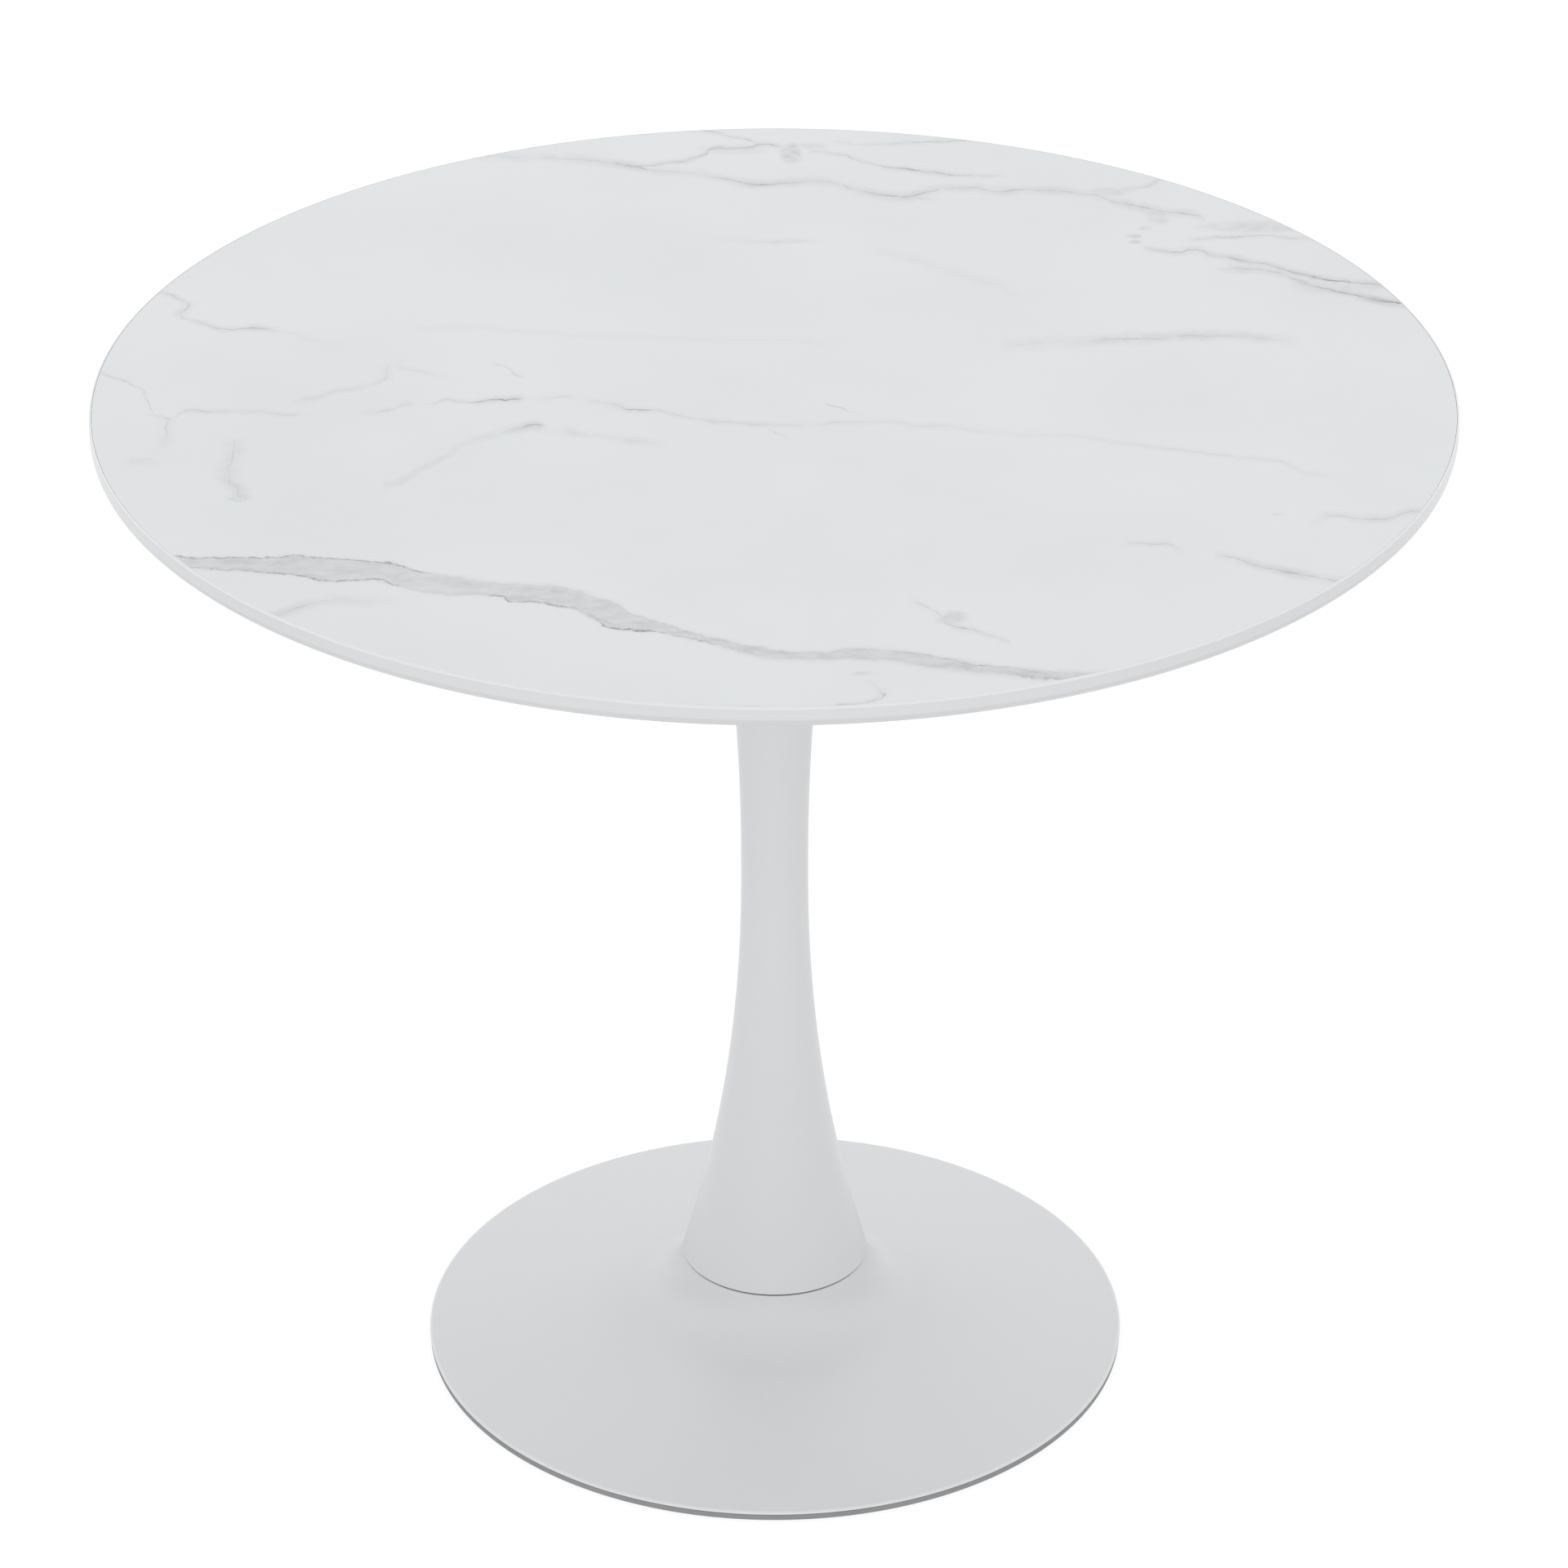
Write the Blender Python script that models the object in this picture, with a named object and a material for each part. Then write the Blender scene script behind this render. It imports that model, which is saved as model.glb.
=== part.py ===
"""Round pedestal table: a marble-print top on a flared steel column and a weighted trumpet base.

Metres, +Z up. The origin is on the floor, on the column's axis. Every piece is one object.
"""

import math

import bmesh
import bpy
from mathutils import Matrix

# Overall sizes
TABLE_HEIGHT = 0.730
TOP_RADIUS = 0.450
BASE_RADIUS = 0.245
FIT_GAP = 0.0003  # left between any two pieces that touch

# Table top: a board with a printed face, a lacquered edge and a plain backing sheet
BOARD_THICKNESS = 0.018
EDGE_ARRIS = 0.0015  # rounding of the upper edge
EDGE_UNDERCUT = 0.006  # rounding below the upright band
BEVEL_WIDTH = 0.040  # shallow bevel under the rim
BEVEL_DROP = 0.004
FACE_SHEET = 0.0008
BACKING_SHEET = 0.0005
BACKING_MARGIN = 0.004  # bare board left around the backing sheet

# Mounting plate and its bolts into the board
PLATE_RADIUS = 0.140
PLATE_THICKNESS = 0.004
PLATE_BORE = 0.015
PLATE_BOLTS = 6
PLATE_BOLT_EDGE = 0.030  # from the plate's edge to its bolts
PLATE_BOLT_RADIUS = 0.003
PLATE_BOLT_HEAD = 0.0062  # radius
PLATE_BOLT_HEAD_HEIGHT = 0.0034
PLATE_BOLT_SOCKET = 0.002  # across the flats, halved
PLATE_BOLT_SOCKET_DEPTH = 0.002
INSERT_RADIUS = 0.0049
INSERT_COVER = 0.0036  # board left above an insert
INSERT_SPARE = 0.0016  # thread left free above a bolt

# Column: a spun steel tube that flares from its neck to both ends
NECK_RADIUS = 0.023
NECK_HEIGHT = 0.372
HEAD_RADIUS = 0.065
FOOT_RADIUS = 0.065
FOOT_HEIGHT = 0.066  # lower edge of the column above the floor
COLUMN_WALL = 0.0015
LOWER_FLARE = 2.15  # power of the curve from the neck down
UPPER_FLARE = 2.35  # power of the curve from the neck up

# Base: a spun steel cone whose flat shoulder carries the column
SEAM_GAP = 0.001  # shadow line between the column and the base
SHOULDER_EDGE = 0.0018
BASE_WALL = 0.002
BASE_SWEEP = 0.048  # radius of the hollow curve between the shoulder and the cone
RIM_HEIGHT = 0.0064  # top of the rim above the floor
RIM_ROUND = 0.0015
RIM_LAND = 0.007  # width of the flat ring under the rim
TRIM_WIDTH = 0.0085
TRIM_INSET = 0.0003

# Joint between the column and the base
FLANGE_THICKNESS = 0.008
CLAMP_MARGIN = 0.005  # from the clamp plate to the shell around it
CLAMP_THICKNESS = 0.006
SERVICE_BORE = 0.018  # radius of the hole through the middle of the joint
FOOT_BOLTS = 4
FOOT_BOLT_EDGE = 0.020  # from the clamp plate's edge to the bolts
FOOT_BOLT_RADIUS = 0.004
FOOT_BOLT_SPARE = 0.0035  # shank that stands out above the flange
FOOT_BOLT_HEAD = 0.0065  # across the flats, halved
FOOT_BOLT_HEAD_HEIGHT = 0.0053
WASHER_RADIUS = 0.0083
WASHER_THICKNESS = 0.0016
SPRING_WASHER_RADIUS = 0.0072
SPRING_WASHER_THICKNESS = 0.0022
SPRING_WASHER_SPLIT = math.radians(14)
BOLT_CLEARANCE = 0.0006  # between a shank and a drilled hole
POINT_LENGTH = 0.001  # chamfered end of every shank
POINT_SHARE = 0.8  # radius of that end, as a share of the shank's
HEX_SHARE = 0.94  # radius of a hexagon's chamfered face, as a share of its half width

# Ballast under the base
BALLAST_MARGIN = 0.040  # from the rim of the base to the ballast
BALLAST_FLOOR = 0.006  # its underside above the floor
BALLAST_STUDS = 4
BALLAST_STUD_RADIUS = 0.003
BALLAST_NUT_FLATS = 0.005  # across the flats, halved
BALLAST_NUT_HEIGHT = 0.005
POCKET_ROOM = 0.0022  # around a nut, for a socket
POCKET_DEPTH = 0.0062

# Fineness of the round shapes
TOP_STEPS = 72
BASE_STEPS = 60
COLUMN_STEPS = 40
RING_STEPS = 32
FASTENER_STEPS = 12  # a multiple of six, so that hexagons keep their corners
HOLE_STEPS = 16
FLARE_POINTS = 7
SWEEP_POINTS = 6

# Radii and lengths worked out from the sizes above
EDGE_BAND = BOARD_THICKNESS - EDGE_ARRIS - EDGE_UNDERCUT - BEVEL_DROP
INSERT_LENGTH = BOARD_THICKNESS - FACE_SHEET - 2 * FIT_GAP - INSERT_COVER
PLATE_BOLT_CIRCLE = PLATE_RADIUS - PLATE_BOLT_EDGE
CLAMP_RADIUS = FOOT_RADIUS - BASE_WALL - CLAMP_MARGIN
FOOT_BOLT_CIRCLE = CLAMP_RADIUS - FOOT_BOLT_EDGE

# Levels worked out from the sizes above, top to bottom
BOARD_UNDERSIDE = TABLE_HEIGHT - BOARD_THICKNESS
BACKING_TOP = BOARD_UNDERSIDE - FIT_GAP
PLATE_TOP = BACKING_TOP - BACKING_SHEET - FIT_GAP
PLATE_UNDERSIDE = PLATE_TOP - PLATE_THICKNESS
COLUMN_TOP = PLATE_UNDERSIDE - FIT_GAP
SHOULDER_TOP = FOOT_HEIGHT - SEAM_GAP
FLANGE_UNDERSIDE = SHOULDER_TOP + FIT_GAP
FLANGE_TOP = FLANGE_UNDERSIDE + FLANGE_THICKNESS
CLAMP_TOP = SHOULDER_TOP - BASE_WALL - FIT_GAP
CLAMP_UNDERSIDE = CLAMP_TOP - CLAMP_THICKNESS
WASHER_TOP = CLAMP_UNDERSIDE - FIT_GAP
SPRING_WASHER_TOP = WASHER_TOP - WASHER_THICKNESS - FIT_GAP
FOOT_BOLT_SEAT = SPRING_WASHER_TOP - SPRING_WASHER_THICKNESS - FIT_GAP
RIM_LAND_HEIGHT = RIM_HEIGHT - RIM_ROUND - FIT_GAP
TRIM_HEIGHT = RIM_LAND_HEIGHT - FIT_GAP


def material(name, colour, roughness, metallic=0.0):
    """A Principled material."""
    made = bpy.data.materials.new(name)
    made.use_nodes = True
    shader = made.node_tree.nodes["Principled BSDF"]
    shader.inputs["Base Color"].default_value = (*colour, 1.0)
    shader.inputs["Roughness"].default_value = roughness
    shader.inputs["Metallic"].default_value = metallic
    return made


def add_object(name, mesh, finish=None, place=(0.0, 0.0, 0.0), turn=0.0):
    """An object under the table's empty, turned about +Z."""
    made = bpy.data.objects.new(name, mesh)
    if finish is not None and not mesh.materials:
        mesh.materials.append(finish)
    made.location = place
    made.rotation_euler.z = turn
    made.parent = bpy.data.objects["table"]
    bpy.context.collection.objects.link(made)
    return made


def turned(name, outline, steps, finish, closed=True):
    """A solid of revolution about +Z. The outline of (radius, height) runs down its outer side."""
    mesh = bpy.data.meshes.new(name)
    last = len(outline) - 1
    edges = [(i, i + 1) for i in range(last)]
    if closed:
        edges.append((last, 0))
    mesh.from_pydata([(radius, 0.0, height) for radius, height in outline], edges, [])
    made = add_object(name, mesh, finish)
    screw = made.modifiers.new("Turn", "SCREW")
    screw.steps = steps
    screw.render_steps = steps
    screw.use_merge_vertices = True
    screw.merge_threshold = 0.00001
    screw.use_smooth_shade = True
    return made


def circle_of(count, radius):
    """Where count pieces stand on a circle, each with its angle, none of them on an axis."""
    for number in range(count):
        angle = math.tau * (number + 0.5) / count
        yield number + 1, angle, radius * math.cos(angle), radius * math.sin(angle)


def drill(target, name, count, circle, radius, low, high):
    """Cuts a circle of upright holes through an object."""
    mesh = bpy.data.meshes.new(name)
    shape = bmesh.new()
    for _, angle, x, y in circle_of(count, circle):
        made = bmesh.ops.create_cone(
            shape,
            cap_ends=True,
            segments=HOLE_STEPS,
            radius1=radius,
            radius2=radius,
            depth=high - low,
        )
        place = Matrix.Translation((x, y, (low + high) / 2))
        bmesh.ops.transform(
            shape, verts=made["verts"], matrix=place @ Matrix.Rotation(angle, 4, "Z")
        )
    shape.to_mesh(mesh)
    shape.free()
    cutter = add_object(name, mesh)
    cutter.hide_render = True
    cutter.display_type = "WIRE"
    cut = target.modifiers.new(name, "BOOLEAN")
    cut.operation = "DIFFERENCE"
    cut.solver = "EXACT"
    cut.object = cutter


def hexagon_radius(flat, angle):
    """Distance from a hexagon's centre to its side; flat is half its size across the flats."""
    return flat / math.cos((angle + math.pi / 6) % (math.pi / 3) - math.pi / 6)


def lofted_mesh(name, rings, closed=False):
    """A small upright solid lofted through rings, which run down its outer side.

    A ring is (size, height, hexagonal): its radius, or half its size across the flats.
    """
    shape = bmesh.new()
    loops = []
    for size, height, hexagonal in rings:
        loop = []
        for step in range(FASTENER_STEPS):
            angle = math.tau * step / FASTENER_STEPS
            radius = hexagon_radius(size, angle) if hexagonal else size
            loop.append(
                shape.verts.new((radius * math.cos(angle), radius * math.sin(angle), height))
            )
        loops.append(loop)
    pairs = list(zip(loops, loops[1:]))
    if closed:
        pairs.append((loops[-1], loops[0]))
    else:
        shape.faces.new(loops[0])
        shape.faces.new(reversed(loops[-1]))
    for upper, lower in pairs:
        for step in range(FASTENER_STEPS):
            after = (step + 1) % FASTENER_STEPS
            shape.faces.new((upper[step], lower[step], lower[after], upper[after]))
    mesh = bpy.data.meshes.new(name)
    shape.to_mesh(mesh)
    shape.free()
    return mesh


def arc(centre, radius, start, end, points):
    """Points along an arc, both ends included; angles from +X towards +Z."""
    return [
        (
            centre[0] + radius * math.cos(start + (end - start) * i / points),
            centre[1] + radius * math.sin(start + (end - start) * i / points),
        )
        for i in range(points + 1)
    ]


def bolt_circle(prefix, mesh, finish, count, circle, height):
    """One copy of a mesh at each place of a bolt circle, numbered from 1."""
    for number, angle, x, y in circle_of(count, circle):
        add_object(f"{prefix}_{number}", mesh, finish, (x, y, height), angle)


# Table top


def make_board(finish):
    """The board: a recess for the face sheet, a lacquered edge and a shallow bevel below."""
    up, out, down = math.pi / 2, 0.0, -math.pi / 2
    recess_radius = TOP_RADIUS - EDGE_ARRIS
    recess_floor = TABLE_HEIGHT - FACE_SHEET - FIT_GAP
    band_top = TABLE_HEIGHT - EDGE_ARRIS
    band_foot = band_top - EDGE_BAND
    arris = arc((recess_radius, band_top), EDGE_ARRIS, up, out, 2)
    undercut_radius = TOP_RADIUS - EDGE_UNDERCUT
    undercut = arc((undercut_radius, band_foot), EDGE_UNDERCUT, out, down, 3)
    flat_radius = undercut_radius - BEVEL_WIDTH
    outline = [
        (0.0, recess_floor),
        (recess_radius, recess_floor),
        *arris,
        *undercut,
        (flat_radius, BOARD_UNDERSIDE),
        (0.0, BOARD_UNDERSIDE),
    ]
    board = turned("tabletop_board", outline, TOP_STEPS, finish, closed=False)
    drill(
        board,
        "insert_drill",
        PLATE_BOLTS,
        PLATE_BOLT_CIRCLE,
        INSERT_RADIUS + FIT_GAP,
        BOARD_UNDERSIDE - BACKING_SHEET,
        BOARD_UNDERSIDE + INSERT_LENGTH + FIT_GAP,
    )


def make_face_sheet(finish):
    """The printed sheet let into the board."""
    radius = TOP_RADIUS - EDGE_ARRIS - FIT_GAP
    outline = [
        (0.0, TABLE_HEIGHT),
        (radius, TABLE_HEIGHT),
        (radius, TABLE_HEIGHT - FACE_SHEET),
        (0.0, TABLE_HEIGHT - FACE_SHEET),
    ]
    turned("marble_face_sheet", outline, TOP_STEPS, finish, closed=False)


def make_backing_sheet(finish):
    """The balancing sheet below, open over each insert."""
    radius = TOP_RADIUS - EDGE_UNDERCUT - BEVEL_WIDTH - BACKING_MARGIN
    outline = [
        (0.0, BACKING_TOP),
        (radius, BACKING_TOP),
        (radius, BACKING_TOP - BACKING_SHEET),
        (0.0, BACKING_TOP - BACKING_SHEET),
    ]
    sheet = turned("backing_sheet", outline, TOP_STEPS, finish, closed=False)
    drill(
        sheet,
        "backing_drill",
        PLATE_BOLTS,
        PLATE_BOLT_CIRCLE,
        INSERT_RADIUS + FIT_GAP,
        BACKING_TOP - 2 * BACKING_SHEET,
        BACKING_TOP + BACKING_SHEET,
    )


def make_inserts(finish):
    """Threaded sleeves pressed into the board from below."""
    bore = PLATE_BOLT_RADIUS + FIT_GAP
    chamfer = (INSERT_RADIUS - bore) / 3
    mesh = lofted_mesh(
        "insert",
        [
            (INSERT_RADIUS - chamfer, INSERT_LENGTH, False),
            (INSERT_RADIUS, INSERT_LENGTH - chamfer, False),
            (INSERT_RADIUS, 0.0, False),
            (bore, 0.0, False),
            (bore, INSERT_LENGTH, False),
        ],
        closed=True,
    )
    bolt_circle(
        "insert_nut", mesh, finish, PLATE_BOLTS, PLATE_BOLT_CIRCLE, BOARD_UNDERSIDE
    )


# Mounting plate


def make_mounting_plate(finish):
    """The disc on the column's head that bolts to the board."""
    outline = [
        (PLATE_BORE, PLATE_TOP),
        (PLATE_RADIUS, PLATE_TOP),
        (PLATE_RADIUS, PLATE_UNDERSIDE),
        (PLATE_BORE, PLATE_UNDERSIDE),
    ]
    plate = turned("mounting_plate", outline, BASE_STEPS, finish)
    drill(
        plate,
        "plate_drill",
        PLATE_BOLTS,
        PLATE_BOLT_CIRCLE,
        PLATE_BOLT_RADIUS + BOLT_CLEARANCE,
        PLATE_UNDERSIDE - PLATE_THICKNESS,
        PLATE_TOP + PLATE_THICKNESS,
    )


def make_plate_bolts(finish):
    """Button-head socket screws, heads down, through the plate into the inserts."""
    shank = BOARD_UNDERSIDE + INSERT_LENGTH - INSERT_SPARE - COLUMN_TOP
    rim = PLATE_BOLT_HEAD_HEIGHT / 4
    dome = PLATE_BOLT_HEAD_HEIGHT - rim
    steps = [math.radians(angle) for angle in (0, 35, 60)]
    face = rim + dome * math.sin(steps[-1])
    mesh = lofted_mesh(
        "plate_bolt",
        [
            (PLATE_BOLT_RADIUS * POINT_SHARE, shank, False),
            (PLATE_BOLT_RADIUS, shank - POINT_LENGTH, False),
            (PLATE_BOLT_RADIUS, 0.0, False),
            (PLATE_BOLT_HEAD, 0.0, False),
            *[
                (PLATE_BOLT_HEAD * math.cos(step), -rim - dome * math.sin(step), False)
                for step in steps
            ],
            (PLATE_BOLT_SOCKET, -face, True),
            (PLATE_BOLT_SOCKET, PLATE_BOLT_SOCKET_DEPTH - face, True),
        ],
    )
    bolt_circle(
        "plate_bolt", mesh, finish, PLATE_BOLTS, PLATE_BOLT_CIRCLE, COLUMN_TOP
    )


# Column


def column_radius(height):
    """Outer radius of the column: two power curves that meet at the neck."""
    if height < NECK_HEIGHT:
        share = (NECK_HEIGHT - height) / (NECK_HEIGHT - FOOT_HEIGHT)
        return NECK_RADIUS + (FOOT_RADIUS - NECK_RADIUS) * share**LOWER_FLARE
    share = (height - NECK_HEIGHT) / (COLUMN_TOP - NECK_HEIGHT)
    return NECK_RADIUS + (HEAD_RADIUS - NECK_RADIUS) * share**UPPER_FLARE


def foot_slope():
    """Angle of the column's side below the horizontal where it meets the base."""
    lean = LOWER_FLARE * (FOOT_RADIUS - NECK_RADIUS) / (NECK_HEIGHT - FOOT_HEIGHT)
    return math.atan2(1.0, lean)


def make_column(finish):
    """The hollow column, open at both ends."""
    heights = [
        COLUMN_TOP + (NECK_HEIGHT - COLUMN_TOP) * (i / FLARE_POINTS)
        for i in range(FLARE_POINTS)
    ] + [
        NECK_HEIGHT + (FOOT_HEIGHT - NECK_HEIGHT) * (i / FLARE_POINTS)
        for i in range(FLARE_POINTS + 1)
    ]
    outer = [(column_radius(height), height) for height in heights]
    inner = [(radius - COLUMN_WALL, height) for radius, height in outer]
    turned("column_shell", outer + inner[::-1], COLUMN_STEPS, finish)


def make_foot_flange(finish):
    """The tapped ring welded inside the column's foot."""
    radius = column_radius(FLANGE_TOP) - COLUMN_WALL - FIT_GAP
    outline = [
        (SERVICE_BORE, FLANGE_TOP),
        (radius, FLANGE_TOP),
        (radius, FLANGE_UNDERSIDE),
        (SERVICE_BORE, FLANGE_UNDERSIDE),
    ]
    flange = turned("column_foot_flange", outline, RING_STEPS, finish)
    drill(
        flange,
        "flange_drill",
        FOOT_BOLTS,
        FOOT_BOLT_CIRCLE,
        FOOT_BOLT_RADIUS + BOLT_CLEARANCE,
        FLANGE_UNDERSIDE - FLANGE_THICKNESS,
        FLANGE_TOP + FLANGE_THICKNESS,
    )


# Base


def sweep_start():
    """Where the base's hollow curve leaves the rounded edge of the shoulder."""
    return FOOT_RADIUS, SHOULDER_TOP - SHOULDER_EDGE


def sweep_end(angle):
    """Where that curve has flattened to an angle below the horizontal."""
    radius, height = sweep_start()
    first = foot_slope()
    return (
        radius + BASE_SWEEP * (math.sin(first) - math.sin(angle)),
        height - BASE_SWEEP * (math.cos(angle) - math.cos(first)),
    )


def cone_slope():
    """Slope of the straight cone from the curve's end to the top of the rim, by halving."""
    low, high = 0.0, foot_slope()
    for _ in range(60):
        angle = (low + high) / 2
        radius, height = sweep_end(angle)
        if (BASE_RADIUS - radius) * math.tan(angle) < height - RIM_HEIGHT:
            low = angle
        else:
            high = angle
    return angle


def cone_height(radius, depth=0.0):
    """Height of the cone's outer face at a radius, or of a face this deep inside it."""
    slope = cone_slope()
    return (
        RIM_HEIGHT
        + (BASE_RADIUS - radius) * math.tan(slope)
        - depth / math.cos(slope)
    )


def sweep_curve(depth):
    """The hollow curve, or the same curve this deep inside the shell."""
    radius, height = sweep_start()
    first = foot_slope()
    centre = (
        radius + BASE_SWEEP * math.sin(first),
        height + BASE_SWEEP * math.cos(first),
    )
    return arc(
        centre,
        BASE_SWEEP + depth,
        -math.pi / 2 - first,
        -math.pi / 2 - cone_slope(),
        SWEEP_POINTS,
    )


def make_base(finish):
    """The shell: shoulder, hollow curve, cone and a rim with a flat land below."""
    web_underside = SHOULDER_TOP - BASE_WALL
    inside = sweep_curve(BASE_WALL)
    land_radius = BASE_RADIUS - RIM_LAND
    rim_radius = BASE_RADIUS - RIM_ROUND
    outline = [
        (SERVICE_BORE, SHOULDER_TOP),
        (FOOT_RADIUS - SHOULDER_EDGE, SHOULDER_TOP),
        (FOOT_RADIUS - SHOULDER_EDGE / 4, SHOULDER_TOP - SHOULDER_EDGE / 3),
        *sweep_curve(0.0),
        (rim_radius, cone_height(rim_radius)),
        (BASE_RADIUS - RIM_ROUND / 4, RIM_HEIGHT - RIM_ROUND / 4),
        (BASE_RADIUS, RIM_HEIGHT - RIM_ROUND),
        (BASE_RADIUS - FIT_GAP, RIM_LAND_HEIGHT),
        (land_radius, RIM_LAND_HEIGHT),
        (land_radius, cone_height(land_radius, BASE_WALL)),
        *inside[::-1],
        (inside[0][0] - SHOULDER_EDGE / 4, web_underside),
        (SERVICE_BORE, web_underside),
    ]
    base = turned("base_shell", outline, BASE_STEPS, finish)
    drill(
        base,
        "shoulder_drill",
        FOOT_BOLTS,
        FOOT_BOLT_CIRCLE,
        FOOT_BOLT_RADIUS + BOLT_CLEARANCE,
        web_underside - BASE_WALL,
        SHOULDER_TOP + BASE_WALL,
    )


def make_edge_trim(finish):
    """The grey ring under the rim, on which the table stands."""
    outer = BASE_RADIUS - TRIM_INSET
    inner = outer - TRIM_WIDTH
    chamfer = TRIM_HEIGHT / 8
    outline = [
        (inner, TRIM_HEIGHT),
        (outer, TRIM_HEIGHT),
        (outer, chamfer),
        (outer - chamfer, 0.0),
        (inner, 0.0),
    ]
    turned("edge_trim", outline, BASE_STEPS, finish)


def make_clamp_plate(finish):
    """The thick ring that spreads the bolts' load under the shoulder."""
    outline = [
        (SERVICE_BORE, CLAMP_TOP),
        (CLAMP_RADIUS, CLAMP_TOP),
        (CLAMP_RADIUS, CLAMP_UNDERSIDE),
        (SERVICE_BORE, CLAMP_UNDERSIDE),
    ]
    plate = turned("base_clamp_plate", outline, RING_STEPS, finish)
    drill(
        plate,
        "clamp_drill",
        FOOT_BOLTS,
        FOOT_BOLT_CIRCLE,
        FOOT_BOLT_RADIUS + BOLT_CLEARANCE,
        CLAMP_UNDERSIDE - CLAMP_THICKNESS,
        CLAMP_TOP + CLAMP_THICKNESS,
    )


# Bolts of the foot joint


def make_foot_bolts(finish):
    """Hexagon bolts from below, through washers, clamp plate and shoulder into the flange."""
    flats, height = FOOT_BOLT_HEAD, FOOT_BOLT_HEAD_HEIGHT
    chamfer = (1 - HEX_SHARE) * flats
    shank = FLANGE_TOP + FOOT_BOLT_SPARE - FOOT_BOLT_SEAT
    mesh = lofted_mesh(
        "foot_bolt",
        [
            (FOOT_BOLT_RADIUS * POINT_SHARE, shank, False),
            (FOOT_BOLT_RADIUS, shank - POINT_LENGTH, False),
            (FOOT_BOLT_RADIUS, 0.0, False),
            (HEX_SHARE * flats, 0.0, False),
            (flats, -chamfer, True),
            (flats, chamfer - height, True),
            (HEX_SHARE * flats, -height, False),
        ],
    )
    bolt_circle(
        "foot_bolt", mesh, finish, FOOT_BOLTS, FOOT_BOLT_CIRCLE, FOOT_BOLT_SEAT
    )


def make_flat_washers(finish):
    """Flat washers against the clamp plate."""
    bore = FOOT_BOLT_RADIUS + FIT_GAP
    mesh = lofted_mesh(
        "foot_washer",
        [
            (WASHER_RADIUS, 0.0, False),
            (WASHER_RADIUS, -WASHER_THICKNESS, False),
            (bore, -WASHER_THICKNESS, False),
            (bore, 0.0, False),
        ],
        closed=True,
    )
    bolt_circle("foot_washer", mesh, finish, FOOT_BOLTS, FOOT_BOLT_CIRCLE, WASHER_TOP)


def make_spring_washers(finish):
    """Split spring washers under the bolt heads."""
    bore = FOOT_BOLT_RADIUS + FIT_GAP
    section = [
        (SPRING_WASHER_RADIUS, 0.0),
        (SPRING_WASHER_RADIUS, -SPRING_WASHER_THICKNESS),
        (bore, -SPRING_WASHER_THICKNESS),
        (bore, 0.0),
    ]
    shape = bmesh.new()
    start = SPRING_WASHER_SPLIT / 2
    sweep = math.tau - SPRING_WASHER_SPLIT
    loops = []
    for step in range(FASTENER_STEPS + 1):
        angle = start + sweep * step / FASTENER_STEPS
        loops.append(
            [
                shape.verts.new((radius * math.cos(angle), radius * math.sin(angle), height))
                for radius, height in section
            ]
        )
    for before, after in zip(loops, loops[1:]):
        for side in range(len(section)):
            next_side = (side + 1) % len(section)
            shape.faces.new(
                (before[side], before[next_side], after[next_side], after[side])
            )
    shape.faces.new(loops[0][::-1])
    shape.faces.new(loops[-1])
    mesh = bpy.data.meshes.new("foot_spring_washer")
    shape.to_mesh(mesh)
    shape.free()
    bolt_circle(
        "foot_spring_washer",
        mesh,
        finish,
        FOOT_BOLTS,
        FOOT_BOLT_CIRCLE,
        SPRING_WASHER_TOP,
    )


# Ballast


def ballast_radii():
    """Inner and outer radius of the ballast, which lies under the straight cone."""
    return sweep_end(cone_slope())[0] + BASE_WALL, BASE_RADIUS - BALLAST_MARGIN


def stud_circle():
    """Radius of the studs' circle, midway across the ballast."""
    return sum(ballast_radii()) / 2


def make_ballast(finish):
    """The cast ring under the cone, with a hole for each stud and a pocket for each nut."""
    inner, outer = ballast_radii()
    clear = BASE_WALL + FIT_GAP
    outline = [
        (inner, cone_height(inner, clear)),
        (outer, cone_height(outer, clear)),
        (outer, BALLAST_FLOOR),
        (inner, BALLAST_FLOOR),
    ]
    ballast = turned("ballast_ring", outline, RING_STEPS, finish)
    drill(
        ballast,
        "stud_drill",
        BALLAST_STUDS,
        stud_circle(),
        BALLAST_STUD_RADIUS + BOLT_CLEARANCE,
        0.0,
        FOOT_HEIGHT,
    )
    drill(
        ballast,
        "pocket_drill",
        BALLAST_STUDS,
        stud_circle(),
        BALLAST_NUT_FLATS / math.cos(math.pi / 6) + POCKET_ROOM,
        0.0,
        BALLAST_FLOOR + POCKET_DEPTH,
    )


def make_ballast_studs(finish):
    """Studs welded to the inside of the cone, with their upper ends cut to its slope."""
    seat = cone_height(stud_circle() + BALLAST_STUD_RADIUS, BASE_WALL + FIT_GAP)
    length = seat - BALLAST_FLOOR
    mesh = lofted_mesh(
        "ballast_stud",
        [
            (BALLAST_STUD_RADIUS, length, False),
            (BALLAST_STUD_RADIUS, POINT_LENGTH, False),
            (BALLAST_STUD_RADIUS * POINT_SHARE, 0.0, False),
        ],
    )
    slope = math.tan(cone_slope())
    for point in mesh.vertices:
        if point.co.z > length / 2:
            point.co.z += (BALLAST_STUD_RADIUS - point.co.x) * slope
    bolt_circle(
        "ballast_stud", mesh, finish, BALLAST_STUDS, stud_circle(), BALLAST_FLOOR
    )


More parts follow.
